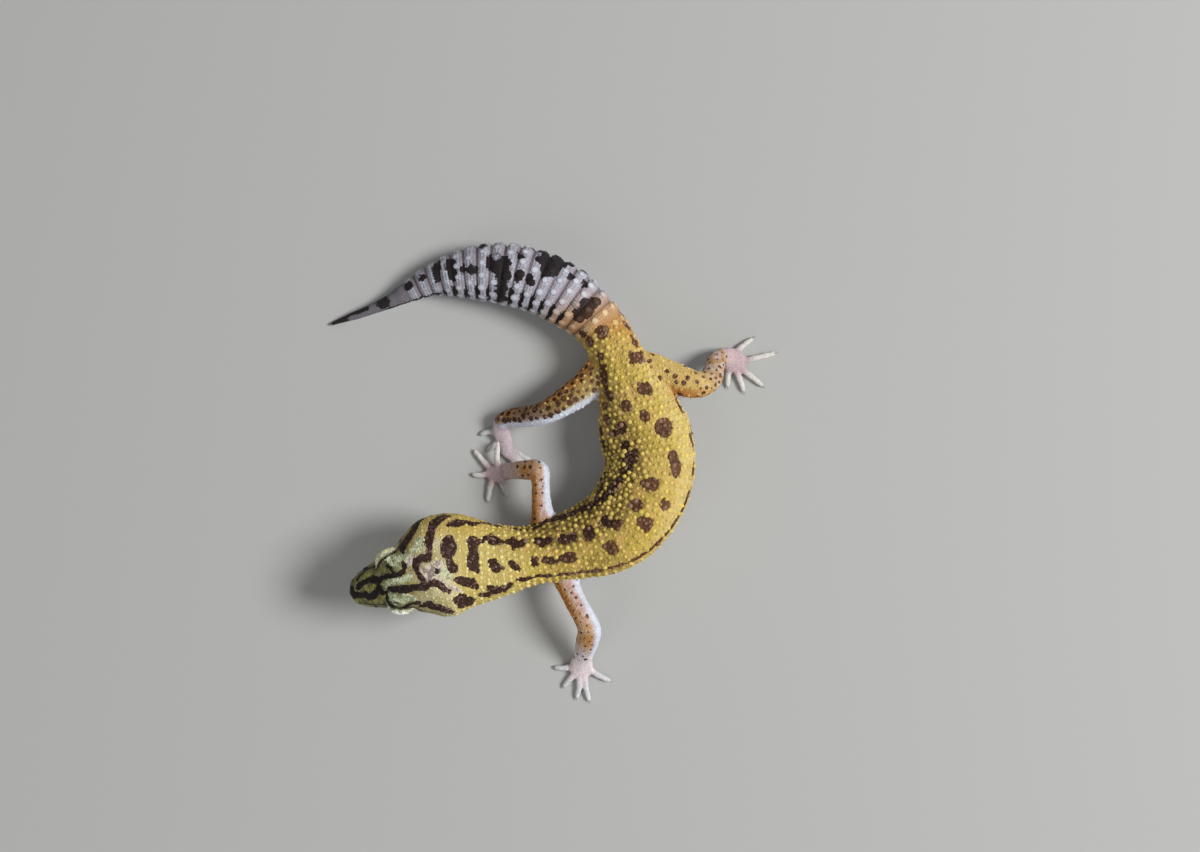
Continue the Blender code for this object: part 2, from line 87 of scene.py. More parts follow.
def smoothThrough(knots, values, at):
    knots = np.asarray(knots, float)
    values = np.asarray(values, float)
    slopes = np.gradient(values, knots, axis=0)
    at = np.clip(np.atleast_1d(at), knots[0], knots[-1])
    i = np.clip(np.searchsorted(knots, at) - 1, 0, len(knots) - 2)
    step = (knots[i + 1] - knots[i])[:, None]
    t = (at - knots[i])[:, None] / step
    t2, t3 = t * t, t * t * t
    return ((2 * t3 - 3 * t2 + 1) * values[i] + (t3 - 2 * t2 + t) * step * slopes[i]
            + (3 * t2 - 2 * t3) * values[i + 1] + (t3 - t2) * step * slopes[i + 1])


def arcLengths(points):
    legs = np.linalg.norm(np.diff(points, axis=0), axis=1)
    return np.concatenate(([0.0], np.cumsum(legs)))


# The second value of a table's rows, read off at the given distances along it
def follow(table, along):
    return np.interp(along, [row[0] for row in table], [row[1] for row in table])


def unit(vectors):
    return vectors / np.maximum(np.linalg.norm(vectors, axis=-1, keepdims=True), 1e-9)


def fade(start, end, value):
    t = np.clip((value - start) / (end - start), 0.0, 1.0)
    return t * t * (3.0 - 2.0 * t)


spineLine = np.array(body["spine"]) - body["origin"]
spineXy = smoothThrough(arcLengths(spineLine), spineLine, np.linspace(0.0, arcLengths(spineLine)[-1], 400))
spineAlong = arcLengths(spineXy) * body["length"] / arcLengths(spineXy)[-1]


def spineMiddle(along):
    return np.stack([np.interp(along, spineAlong, spineXy[:, k]) for k in (0, 1)], axis=-1)


def spineBack(along):     # two millimetres of the spine, towards the tail
    further, nearer = np.clip(along + 1.0, 0.0, body["length"]), np.clip(along - 1.0, 0.0, None)
    return spineMiddle(further) - spineMiddle(nearer)


def spineLeft(along):
    back = unit(spineBack(along))
    return np.stack([back[..., 1], -back[..., 0]], axis=-1)


def onBody(along, side, up):
    xy = spineMiddle(along) + spineLeft(along) * np.asarray(side)[..., None]
    return np.concatenate([xy, np.asarray(up, float)[..., None] * np.ones(xy.shape[:-1] + (1,))], axis=-1)


# Points evenly round each cross-section, starting on the back and going down the left side
def bodyRings(along, sides):
    rows = smoothThrough([row[0] for row in body["sections"]], [row[1:] for row in body["sections"]], along)
    turn = np.linspace(0.0, 2.0 * math.pi, 720, endpoint=False)
    s, c = np.sin(turn), np.cos(turn)
    points, girths = [], []
    for place, (half, under, wide, back, over, below) in zip(along, rows):
        inset = min(body["coatDepth"], 0.3 * half)
        power = 2.0 / np.where(c > 0.0, over, below)
        side = np.sign(s) * np.abs(s) ** power * (half - inset)
        rise = np.where(c > 0.0, back - wide, wide - under) - inset
        up = wide + np.sign(c) * np.abs(c) ** power * rise
        reach = np.hypot(place - eye["along"], up - eye["up"]) / body["browReach"]
        side += np.sign(s) * body["browHeight"] * np.maximum(0.0, 1.0 - reach * reach) ** 2
        up = np.maximum(up, body["floorGap"])
        ring = np.stack([side, up], axis=1)
        closed = np.vstack((ring, ring[:1]))
        lengths = arcLengths(closed)
        at = np.arange(sides) / sides * lengths[-1]
        side = np.interp(at, lengths, closed[:, 0])
        up = np.interp(at, lengths, closed[:, 1])
        points.append(onBody(np.full(sides, place), side, up))
        girths.append(np.where(at > lengths[-1] / 2.0, at - lengths[-1], at))
    return np.array(points), np.array(girths)


def bump(value, middle, width):
    return np.exp(-((value - middle) / width) ** 2)


def cloud(points, size, seed=0.0):
    return np.array([noise.noise(Vector(p) / size + Vector((seed, seed, seed))) for p in points])


def eyeFrame(side):
    middle = onBody(eye["along"], side * eye["side"], eye["up"])
    left = np.append(spineLeft(eye["along"]), 0.0)
    ahead = -unit(np.append(spineBack(eye["along"]), 0.0))
    gaze = unit(left * side + ahead * eye["forward"] + np.array((0.0, 0.0, eye["upward"])))
    over = unit(np.array((0.0, 0.0, 1.0)) - gaze * gaze[2])
    front = np.cross(over, gaze) * side
    front *= np.sign(front @ ahead)
    return middle, gaze, over, front


# Half the angle between the lids in degrees, for a turn round the gaze
def lidOpening(turn):
    tall = np.where(np.sin(turn) > 0.0, eye["openingOver"], eye["openingUnder"])
    edge = 1.0 / np.sqrt((np.cos(turn) / eye["openingLong"]) ** 2 + (np.sin(turn) / tall) ** 2)
    return edge + eye["corner"] * np.abs(np.cos(turn)) ** 8


# Distance from the middle of the eye to the outer face of its lids
def lidRim(turn):
    return eye["radius"] + eye["lidThick"] + eye["lidOver"] * fade(-0.1, 0.8, np.sin(turn))


# Distance of a point on the eye's sphere from the edge of its lids, in millimetres, outwards positive
def lidDistance(directions, gaze, over, front):
    angle = np.arccos(np.clip(directions @ gaze, -1.0, 1.0))
    turn = np.arctan2(directions @ over, directions @ front)
    return (angle - np.radians(lidOpening(turn))) * eye["radius"], turn


face = {
    "mouth": ((-1.0, 14.4), (2.0, 14.1), (8.0, 13.5), (14.0, 13.4), (18.5, 14.3)),   # along, z
    "mouthEnd": 18.5, "mouthDeep": 0.34, "mouthWide": 0.2, "lipFull": 0.14,
    "nostril": (1.7, 16.3), "nostrilWide": 0.3, "nostrilDeep": 0.5,
    "ear": (23.0, 16.2), "earSize": (0.95, 1.5), "earDeep": 1.1,
}
trunkFolds = {"start": 44.0, "end": 94.0, "length": 1.05, "deep": 0.1, "inner": -6.0}
tailRings = {"start": 112.0, "end": 164.0, "length": 2.9, "deep": 0.5, "fattestHalf": 7.0}
# Fold of skin where the flank turns under, along and girth on the left; the right side mirrors it
flankLine = ((36.0, 4.7), (40.5, 5.2), (43.5, 5.9), (50.0, 7.0), (58.0, 8.4), (66.0, 10.4), (72.0, 11.8),
             (80.0, 12.2), (92.0, 11.4), (100.0, 9.6))


def mouthHeight(along):
    return follow(face["mouth"], along)


# Distances from the middle of the nostril in millimetres, and of the ear opening in shares of its size
def nostrilReach(along, up):
    return np.hypot(along - face["nostril"][0], up - face["nostril"][1])


def earReach(along, up):
    return np.hypot((along - face["ear"][0]) / face["earSize"][0], (up - face["ear"][1]) / face["earSize"][1])


def headRelief(along, side, up):
    near = np.abs(side)
    top = fade(16.0, 18.5, up)
    push = -0.28 * bump(along, 5.5, 3.0) * bump(side, 0.0, 1.9) * top             # hollow of the snout
    push -= 0.35 * bump(along, 12.5, 3.0) * bump(side, 0.0, 2.0) * top            # between the eyes
    push += 0.22 * bump(along, 5.0, 2.6) * bump(near, 3.4, 0.8) * bump(up, 18.3, 1.2)   # ridge to the nostril
    push -= 0.35 * bump(along, 6.2, 2.0) * bump(up, 16.0, 1.1)                    # cheek ahead of the eye
    push += 0.45 * bump(along, 19.0, 3.0) * bump(up, 17.0, 2.6)                   # jaw muscle
    push += 0.25 * bump(along, 20.5, 3.5) * bump(near, 4.6, 2.2) * top            # crown
    push -= 0.22 * bump(along, 22.0, 5.0) * bump(side, 0.0, 1.0) * top
    rise = up - mouthHeight(along)
    shut = 1.0 - fade(face["mouthEnd"] - 1.2, face["mouthEnd"] + 0.2, along)
    push -= shut * face["mouthDeep"] * bump(rise, 0.0, face["mouthWide"])
    push += shut * face["lipFull"] * (bump(rise, 0.75, 0.5) + bump(rise, -0.65, 0.42))
    push -= 0.3 * bump(along, face["mouthEnd"] + 0.6, 0.7) * bump(rise, 0.1, 0.6)     # corner of the mouth
    hole = nostrilReach(along, up)
    push += 0.08 * bump(hole, 0.72, 0.25) - face["nostrilDeep"] * bump(hole, 0.0, face["nostrilWide"])
    ear = earReach(along, up)
    push += 0.16 * bump(ear, 1.3, 0.25) - face["earDeep"] * (1.0 - fade(0.6, 1.05, ear))
    return push


def bodyRelief(along, girth, around, side, up, points):
    share = np.abs(around)
    push = headRelief(along, side, up) * (1.0 - fade(24.5, 26.5, along))
    lumps = cloud(points, 7.0)
    fine = cloud(points, 2.6, 5.0)
    push += 0.10 * lumps * fade(20.0, 34.0, along) + 0.04 * fine
    # wrinkles behind the jaw and on the throat
    crease = np.sin(2.0 * math.pi * (along + 1.2 * lumps) / 2.3)
    push += 0.09 * crease * bump(along, 33.0, 7.0) * fade(0.3, 0.6, share)
    # folds where the trunk bends
    inner = fade(trunkFolds["inner"] + 3.0, trunkFolds["inner"] - 3.0, girth)
    inner *= 1.0 - fade(0.62, 0.75, share)
    wave = np.sin(2.0 * math.pi * (along + 0.5 * fine) / trunkFolds["length"])
    push += trunkFolds["deep"] * wave * inner * bump(along, 66.0, 14.0)
    creaseWide = np.sin(2.0 * math.pi * (along + 0.8 * lumps) / 3.4)
    push += 0.16 * creaseWide * inner * bump(along, 70.0, 13.0)
    fold = follow(flankLine, along)
    onFlank = fade(43.0, 48.0, along) * (1.0 - fade(94.0, 100.0, along))
    push += 0.28 * onFlank * bump(np.abs(girth) - fold, 0.25, 0.5)
    push -= 0.16 * onFlank * bump(np.abs(girth) - fold, 1.3, 0.6)
    # shoulder blades, hip bones and the furrow between them
    push += 0.3 * bump(along, 48.0, 3.4) * bump(np.abs(girth), 4.4, 1.8)
    push += 0.4 * bump(along, 101.5, 3.4) * bump(np.abs(girth), 3.3, 1.4)
    push -= 0.22 * bump(girth, 0.0, 0.7) * bump(along, 98.0, 9.0)
    push += 0.16 * bump(np.abs(girth), 1.3, 0.5) * bump(along, 98.0, 9.0)
    return push + tailRelief(along, around, side)


def tailGroove(along):
    phase = (along - tailRings["start"]) / tailRings["length"]
    return np.abs(phase - np.round(phase)) * tailRings["length"]


def tailRelief(along, around, side):
    half = follow(body["sections"], along)
    size = np.clip(half / tailRings["fattestHalf"], 0.0, 1.0)
    ringed = fade(tailRings["start"] - 3.0, tailRings["start"] + 3.0, along)
    ringed *= 1.0 - fade(158.0, 168.0, along)
    sides = 0.6 + 0.6 * fade(0.1, 0.45, np.abs(around)) * (1.0 - fade(0.7, 0.9, np.abs(around)))
    away = tailGroove(along)
    swell = 0.8 * tailRings["deep"] * (1.0 - bump(away, 0.0, 0.66))
    return ringed * size * sides * (swell - 0.6 * tailRings["deep"] * bump(away, 0.0, 0.22))


# Lids: the skin is drawn in behind each eyeball and rolled up into a rim round it
def shapeLids(points):
    lid = np.full(len(points), eye["noLid"])
    turnOfLid = np.zeros(len(points))
    for side in (1.0, -1.0):
        middle, gaze, over, front = eyeFrame(side)
        away = points - middle
        reach = np.linalg.norm(away, axis=1)
        near = np.flatnonzero((reach < 6.5) & (away @ gaze > -1.5))
        directions = away[near] / reach[near, None]
        edge, turn = lidDistance(directions, gaze, over, front)
        rim = lidRim(turn)
        natural = reach[near]
        blend = np.maximum(fade(0.5, 3.2, edge * natural / eye["radius"]), fade(4.2, 5.6, natural))
        shaped = rim * (1.0 - blend) + natural * blend
        shaped -= 0.22 * bump(edge, eye["lidWide"] + 0.15, 0.22)
        shaped += 0.1 * bump(edge, 0.45, 0.35)
        sink = 1.0 - fade(-0.34, 0.1, edge)
        shaped = shaped * (1.0 - sink) + (eye["radius"] - 0.4) * sink
        points[near] = middle + directions * shaped[:, None]
        edge = edge + np.maximum(0.0, natural - eye["radius"] - 0.9)
        closer = np.abs(edge) < np.abs(lid[near])
        lid[near] = np.where(closer, edge, lid[near])
        turnOfLid[near] = np.where(closer, turn, turnOfLid[near])
    return points, lid, turnOfLid


def meshObject(name, points, faces):
    mesh = bpy.data.meshes.new(name)
    mesh.from_pydata([tuple(p) for p in points], [], faces)
    mesh.update()
    thing = bpy.data.objects.new(name, mesh)
    bpy.context.scene.collection.objects.link(thing)
    return thing


def meshArrays(mesh):
    points = np.empty(len(mesh.vertices) * 3)
    normals = np.empty(len(mesh.vertices) * 3)
    mesh.vertices.foreach_get("co", points)
    mesh.vertices.foreach_get("normal", normals)
    return points.reshape(-1, 3), normals.reshape(-1, 3)


def setPoints(mesh, points):
    mesh.vertices.foreach_set("co", np.ascontiguousarray(points, dtype=np.float32).ravel())
    mesh.update()


def pointTree(points):
    tree = KDTree(len(points))
    for i, point in enumerate(points):
        tree.insert(point, i)
    tree.balance()
    return tree


def editMesh(mesh, edit):
    shape = bmesh.new()
    shape.from_mesh(mesh)
    edit(shape)
    shape.to_mesh(mesh)
    shape.free()


def recalculate(mesh):
    editMesh(mesh, lambda shape: bmesh.ops.recalc_face_normals(shape, faces=shape.faces))


def finishPiece(thing, material):
    thing.data.polygons.foreach_set("use_smooth", [True] * len(thing.data.polygons))
    thing.data.materials.clear()
    thing.data.materials.append(material)


def setAttribute(mesh, name, values, kind="FLOAT"):
    layer = mesh.attributes.get(name) or mesh.attributes.new(name, kind, "POINT")
    field = "value" if kind == "FLOAT" else "vector"
    layer.data.foreach_set(field, np.ascontiguousarray(values, dtype=np.float32).ravel())


def getAttribute(mesh, name):
    values = np.empty(len(mesh.vertices), dtype=np.float32)
    mesh.attributes[name].data.foreach_get("value", values)
    return values.astype(float)


# Quads round the body, with half as many round the trunk and tail as round the head
bodyMesh = {"headSides": 192, "sides": 96, "headStep": 0.24, "trunkStep": 0.62, "tailStep": 0.44}


def buildBody():
    places = np.concatenate([
        np.arange(0.15, body["headEnd"], bodyMesh["headStep"]),
        np.arange(body["headEnd"], body["tailStart"], bodyMesh["trunkStep"]),
        np.arange(body["tailStart"], body["length"] + 0.1, bodyMesh["tailStep"])])
    points, alongs, girths, arounds, rows = [], [], [], [], []
    for start, stop, sides in ((0.0, body["headEnd"], bodyMesh["headSides"]),
                               (body["headEnd"], 999.0, bodyMesh["sides"])):
        part = places[(places >= start) & (places < stop)]
        rings, girth = bodyRings(part, sides)
        for place, ring, ringGirth in zip(part, rings, girth):
            rows.append(np.arange(sides) + len(points))
            points.extend(ring)
            alongs.extend([place] * sides)
            girths.extend(ringGirth)
            share = 2.0 * np.arange(sides) / sides
            arounds.extend(np.where(share > 1.0, share - 2.0, share))
    faces = []
    for near, far in zip(rows, rows[1:]):
        n, m = len(near), len(far)
        for k in range(m):
            a, b = far[k], far[(k + 1) % m]
            if n == m:
                faces.append((near[k], near[(k + 1) % n], b, a))
            else:
                c, d, e = near[2 * k], near[2 * k + 1], near[(2 * k + 2) % n]
                faces.extend([(c, d, a), (d, b, a), (d, e, b)])
    for row, along, reverse in ((rows[0], 0.0, True), (rows[-1], body["length"], False)):
        tip = len(points)
        points.append(np.mean([points[i] for i in row], axis=0))
        alongs.append(along)
        girths.append(0.0)
        arounds.append(0.0)
        for k in range(len(row)):
            a, b = row[k], row[(k + 1) % len(row)]
            faces.append((b, a, tip) if reverse else (a, b, tip))
    thing = meshObject("skin", points, faces)
    for name, values in (("along", alongs), ("girth", girths), ("around", arounds)):
        setAttribute(thing.data, name, values)
    refineFace(thing.data)
    recalculate(thing.data)
    points, normals = meshArrays(thing.data)
    along, girth, around = (getAttribute(thing.data, name) for name in ("along", "girth", "around"))
    side = np.sum((points[:, :2] - spineMiddle(along)) * spineLeft(along), axis=1)
    points += normals * bodyRelief(along, girth, around, side, points[:, 2], points)[:, None]
    points, lid, turnOfLid = shapeLids(points)
    points[:, 2] = np.maximum(points[:, 2], body["floorGap"])
    setPoints(thing.data, points)
    smoothSocket(thing.data, lid)
    for name, values in (("lid", lid), ("lidTurn", turnOfLid)):
        setAttribute(thing.data, name, values)
    return thing


# Evens out the skin round the lids, and the tip of the snout
def smoothSocket(mesh, lid):
    def smooth(shape):
        alongLayer = shape.verts.layers.float["along"]
        eyes = [Vector(eyeFrame(side)[0]) for side in (1.0, -1.0)]
        socket, tip = [], []
        for vertex in shape.verts:
            if vertex[alongLayer] < 24.0 and lid[vertex.index] > eye["lidWide"] - 0.1:
                if 3.4 < min((vertex.co - middle).length for middle in eyes) < 7.5:
                    socket.append(vertex)
            if vertex[alongLayer] < 0.7:
                tip.append(vertex)
        for chosen, passes in ((socket, 10), (tip, 4)):
            for _ in range(passes):
                bmesh.ops.smooth_vert(shape, verts=chosen, factor=0.5,
                                      use_axis_x=True, use_axis_y=True, use_axis_z=True)
    editMesh(mesh, smooth)


# Finer faces round the eyes, mouth, nostrils and ears
def refineFace(mesh):
    def refine(shape):
        alongLayer = shape.verts.layers.float["along"]
        eyes = [Vector(eyeFrame(side)[0]) for side in (1.0, -1.0)]
        chosen = set()
        for vertex in shape.verts:
            along, up = vertex[alongLayer], vertex.co.z
            if along > 27.0:
                continue
            nearEye = min((vertex.co - middle).length for middle in eyes) < 4.5
            nearMouth = along < 19.5 and abs(up - float(mouthHeight(along))) < 0.45
            nearEar = math.hypot(along - face["ear"][0], up - face["ear"][1]) < 2.1
            if nearEye or nearMouth or nostrilReach(along, up) < 1.2 or nearEar:
                chosen.add(vertex)
        edges = [edge for edge in shape.edges if edge.verts[0] in chosen and edge.verts[1] in chosen]
        bmesh.ops.subdivide_edges(shape, edges=edges, cuts=1, use_grid_fill=True)
    editMesh(mesh, refine)


# Limbs: points x, y, z with the half width and half height there, from inside the trunk to the wrist
# or ankle; then the palm in the same way, and each toe from its knuckle to its tip
limbs = {
    "arm_right": {
        "path": ((14.5, -1.6, 7.6, 2.9, 2.9), (10.0, -2.4, 8.4, 2.6, 2.6), (5.6, -2.9, 9.4, 2.3, 2.4),
                 (2.0, -3.0, 9.9, 2.2, 2.3), (-0.7, -3.4, 9.4, 2.5, 2.4), (-0.9, -6.0, 7.6, 2.4, 2.1),
                 (-0.8, -8.2, 5.6, 2.25, 1.8), (-0.6, -9.9, 4.2, 2.1, 1.5), (-0.4, -11.2, 3.2, 2.1, 1.3)),
        "palm": ((-0.35, -11.5, 2.6, 2.1, 1.2), (-0.1, -12.8, 1.6, 2.4, 1.4), (0.0, -14.2, 1.0, 2.3, 1.25),
                 (0.1, -15.6, 0.8, 1.5, 0.9)),
        "toes": (((-1.3, -13.2, 1.7), (-3.4, -13.3, 2.9), (-5.4, -13.2, 3.1), (-7.4, -13.1, 2.95)),
                 ((-0.9, -14.8, 0.9), (-2.8, -16.6, 0.8), (-5.3, -18.8, 0.5)),
                 ((0.1, -15.2, 0.9), (0.5, -17.2, 0.8), (0.3, -19.3, 0.5)),
                 ((1.0, -14.4, 0.9), (3.4, -15.0, 0.8), (6.6, -15.6, 0.5)),
                 ((1.2, -12.7, 1.0), (2.9, -12.0, 0.8), (5.3, -11.1, 0.5)))},
    "arm_left": {
        "path": ((18.5, 1.2, 7.4, 3.2, 3.0), (23.5, 2.6, 8.3, 2.9, 2.8), (28.6, 4.8, 9.6, 2.6, 2.5),
                 (32.2, 6.8, 10.2, 2.6, 2.4), (34.9, 8.0, 9.7, 2.8, 2.3), (38.1, 7.6, 7.2, 2.8, 2.2),
                 (40.6, 6.9, 5.0, 2.5, 1.8), (42.4, 6.5, 3.4, 2.4, 1.4)),
        "palm": ((42.7, 6.4, 3.0, 2.4, 1.3), (44.2, 6.2, 1.7, 2.8, 1.5), (45.8, 6.1, 1.05, 2.8, 1.3),
                 (47.3, 6.1, 0.8, 1.8, 0.9)),
        "toes": (((44.6, 4.4, 0.9), (45.2, 2.2, 0.8), (45.0, -0.2, 0.5)),
                 ((46.2, 4.9, 0.9), (47.6, 3.6, 0.8), (49.7, 1.9, 0.5)),
                 ((46.8, 5.8, 0.9), (49.6, 5.6, 0.8), (52.4, 5.0, 0.5)),
                 ((46.8, 6.8, 0.9), (49.8, 7.2, 0.8), (53.0, 8.0, 0.5)),
                 ((45.4, 8.0, 0.9), (46.9, 10.2, 0.8), (48.3, 12.9, 0.5)))},
    "leg_right": {
        "path": ((-24.5, 12.5, 6.4, 3.9, 3.6), (-20.8, 8.6, 7.4, 3.8, 3.4), (-18.0, 4.8, 8.4, 3.5, 3.2),
                 (-15.6, 1.2, 9.0, 3.1, 2.9), (-13.9, -2.2, 8.8, 2.8, 2.7), (-13.1, -5.4, 7.2, 2.6, 2.4),
                 (-12.9, -8.5, 5.4, 2.4, 2.0), (-12.5, -11.1, 3.8, 2.1, 1.6), (-11.6, -12.7, 2.9, 1.9, 1.3)),
        "palm": ((-11.2, -12.8, 2.6, 1.9, 1.25), (-9.7, -12.4, 1.6, 2.2, 1.3), (-7.4, -11.7, 0.95, 2.0, 1.1),
                 (-5.0, -11.1, 0.8, 1.7, 0.95), (-3.6, -10.6, 0.7, 1.1, 0.8)),
        "toes": (((-9.2, -13.2, 0.9), (-9.6, -15.2, 0.8), (-8.9, -17.4, 0.5)),
                 ((-5.6, -10.1, 0.8), (-4.2, -8.0, 0.7), (-3.0, -5.6, 0.5)),
                 ((-4.6, -10.3, 0.8), (-2.6, -8.3, 0.7), (-0.6, -6.0, 0.5)),
                 ((-4.2, -10.6, 0.8), (-1.9, -9.2, 0.7), (0.8, -8.0, 0.5)),
                 ((-7.4, -12.6, 0.8), (-6.2, -14.4, 0.7), (-5.0, -15.7, 0.5)))},
    "leg_left": {
        "path": ((-23.6, 17.6, 6.4, 4.0, 3.6), (-23.4, 21.8, 7.5, 4.0, 3.4), (-22.2, 25.8, 8.5, 3.9, 3.2),
                 (-20.9, 29.6, 9.2, 3.6, 3.0), (-20.3, 33.2, 9.2, 3.1, 2.8), (-21.6, 35.6, 7.8, 2.8, 2.5),
                 (-24.2, 36.6, 5.8, 2.5, 2.1), (-26.2, 37.4, 4.1, 2.2, 1.7), (-26.9, 38.5, 3.1, 2.1, 1.4)),
        "palm": ((-27.0, 38.9, 3.0, 2.1, 1.35), (-26.6, 40.2, 1.7, 2.7, 1.5), (-25.8, 41.9, 1.05, 2.9, 1.3),
                 (-25.0, 43.6, 0.8, 2.1, 0.95)),
        "toes": (((-27.4, 41.4, 0.9), (-29.4, 43.4, 0.8), (-31.3, 46.0, 0.5)),
                 ((-25.8, 43.2, 0.9), (-26.8, 47.0, 0.8), (-27.8, 51.2, 0.5)),
                 ((-24.4, 43.0, 0.9), (-22.3, 45.6, 0.8), (-20.1, 48.3, 0.5)),
                 ((-23.9, 41.8, 0.9), (-21.6, 42.9, 0.8), (-18.8, 43.8, 0.5)),
                 ((-24.3, 40.3, 0.9), (-22.2, 40.1, 0.8), (-19.9, 40.0, 0.5)))},
}
limbMesh = {"inset": 0.18, "flare": 0.9, "sides": 20, "step": 0.7, "palmRings": 12, "toeRings": 16,
            "voxel": 0.31, "smoothing": 5, "toeRoot": 0.72, "toeEnd": 0.51, "toeTip": 0.55, "knuckle": 0.09}


def limbTables(limb):
    shift = np.array((*body["origin"], 0.0))
    path = np.array(limb["path"])
    palm = np.array(limb["palm"])
    path[:, :3] -= shift
    palm[:, :3] -= shift
    return path, palm, [np.array(toe) - shift for toe in limb["toes"]]


# Rings square to a path, with their side and over directions
def tube(middles, radii, sides):
    ahead = unit(np.gradient(middles, axis=0))
    side = unit(np.cross((0.0, 0.0, 1.0), ahead))
    over = np.cross(ahead, side)
    turn = 2.0 * math.pi * np.arange(sides) / sides
    return (middles[:, None] + side[:, None] * radii[:, :1, None] * np.cos(turn)[None, :, None]
            + over[:, None] * radii[:, 1:, None] * np.sin(turn)[None, :, None])


def tubeFaces(rings, sides, first):
    faces = []
    for i in range(rings - 1):
        for k in range(sides):
            a, b = first + i * sides + k, first + i * sides + (k + 1) % sides
            faces.append((a, b, b + sides, a + sides))
    faces.append(tuple(first + k for k in reversed(range(sides))))
    faces.append(tuple(first + (rings - 1) * sides + k for k in range(sides)))
    return faces


# One limb with its palm and toes, as overlapping tubes. Rows of "facts" say for each point how far it
# is down the limb, its turn round it, and how much of a hand or toe it is.
def limbTubes(limb):
    path, palm, toes = limbTables(limb)
    points, faces, facts = [], [], []

    def addTube(middles, radii, start, hand, toe):
        sides = limbMesh["sides"]
        faces.extend(tubeFaces(len(middles), sides, len(points)))
        lengths = arcLengths(middles)
        turn = np.arange(sides) / sides * 2.0 - 1.0
        for ring, length in zip(tube(middles, radii, sides), lengths):
            points.extend(ring)
            toeShare = length / lengths[-1] if toe else 0.0
            facts.extend([(start + length, t, hand, toeShare, toe) for t in turn])
        return lengths[-1]

    knots = arcLengths(path[:, :3])
    rows = smoothThrough(knots, path, np.arange(0.0, knots[-1] + 0.4, limbMesh["step"]))
    radii = rows[:, 3:] - limbMesh["inset"]
    radii += limbMesh["flare"] * (1.0 - fade(0.0, 9.0, arcLengths(rows[:, :3])))[:, None]
    length = addTube(rows[:, :3], radii, 0.0, 0.0, 0)
    knots = arcLengths(palm[:, :3])
    rows = smoothThrough(knots, palm, np.linspace(0.0, knots[-1], limbMesh["palmRings"]))
    rows = np.vstack((path[-2], rows))
    addTube(rows[:, :3], rows[:, 3:] - limbMesh["inset"], length - 1.5, 1.0, 0)
    tips = []
    for number, toe in enumerate(toes, 1):
        knots = arcLengths(toe)
        middles = smoothThrough(knots, toe, np.linspace(0.0, knots[-1], limbMesh["toeRings"]))
        share = np.linspace(0.0, 1.0, limbMesh["toeRings"])
        radius = limbMesh["toeRoot"] * (1.0 - share) + limbMesh["toeEnd"] * share
        radius += limbMesh["knuckle"] * (bump(share, 0.38, 0.08) + bump(share, 0.7, 0.07))
        radius[-1] *= limbMesh["toeTip"]
        radii = np.stack([radius * 1.06, radius * 0.92], axis=1)
        addTube(middles, radii, length + 2.0, 1.0, number)
        tips.append((middles[-1], unit(middles[-1] - middles[-3])))
    limb["tips"] = tips
    return points, faces, facts


def applyModifiers(thing):
    depsgraph = bpy.context.evaluated_depsgraph_get()
    mesh = bpy.data.meshes.new_from_object(thing.evaluated_get(depsgraph))
    used = thing.data
    thing.modifiers.clear()
    thing.data = mesh
    bpy.data.meshes.remove(used)


# Limbs joined into one mesh of even quads, with rounded webs between palm and toes
def buildLimbs():
    allPoints, allFaces, facts, parts = [], [], [], []
    for number, (name, limb) in enumerate(limbs.items()):
        points, faces, rows = limbTubes(limb)
        part = meshObject(name, points, faces)
        recalculate(part.data)
        remesh = part.modifiers.new("even quads", "REMESH")
        remesh.mode = "VOXEL"
        remesh.voxel_size = limbMesh["voxel"]
        smooth = part.modifiers.new("soften", "SMOOTH")
        smooth.factor = 0.5
        smooth.iterations = limbMesh["smoothing"]
        applyModifiers(part)
        partPoints, _ = meshArrays(part.data)
        base = len(allPoints)
        allPoints.extend(partPoints)
        allFaces.extend([tuple(base + i for i in polygon.vertices) for polygon in part.data.polygons])
        facts.extend([(*row, number) for row in rows])
        parts.extend(points)
        bpy.data.objects.remove(part)
    allPoints = np.array(allPoints)
    allPoints[:, 2] = np.maximum(allPoints[:, 2], body["floorGap"])
    return meshObject("limbs", allPoints, allFaces), np.array(parts), np.array(facts)


# Softens the mesh near the marked points, most at the marked points themselves
def softenNear(mesh, marked, rings, passes):
    count = len(mesh.vertices)
    ends = np.empty(len(mesh.edges) * 2, dtype=np.int64)
    mesh.edges.foreach_get("vertices", ends)
    ends = ends.reshape(-1, 2)
    weight = marked.astype(float)
    for _ in range(rings):
        spread = np.zeros(count)
        np.maximum.at(spread, ends[:, 0], weight[ends[:, 1]])
        np.maximum.at(spread, ends[:, 1], weight[ends[:, 0]])
        weight = np.maximum(weight, spread * 0.86)
    weight = np.clip(weight * 1.4, 0.0, 1.0) * (weight > 0.3)
    points, _ = meshArrays(mesh)
    degree = np.bincount(ends.ravel(), minlength=count).astype(float)
    for _ in range(passes):
        total = np.stack([np.bincount(ends[:, 0], points[ends[:, 1], k], count)
                          + np.bincount(ends[:, 1], points[ends[:, 0], k], count) for k in range(3)], axis=1)
        mean = total / np.maximum(degree, 1.0)[:, None]
        points += 0.5 * weight[:, None] * (mean - points)
    setPoints(mesh, points)


def nearestRows(points, sources):
    tree = pointTree(sources)
    found = [tree.find(point) for point in points]
    return np.array([hit[1] for hit in found]), np.array([hit[2] for hit in found])


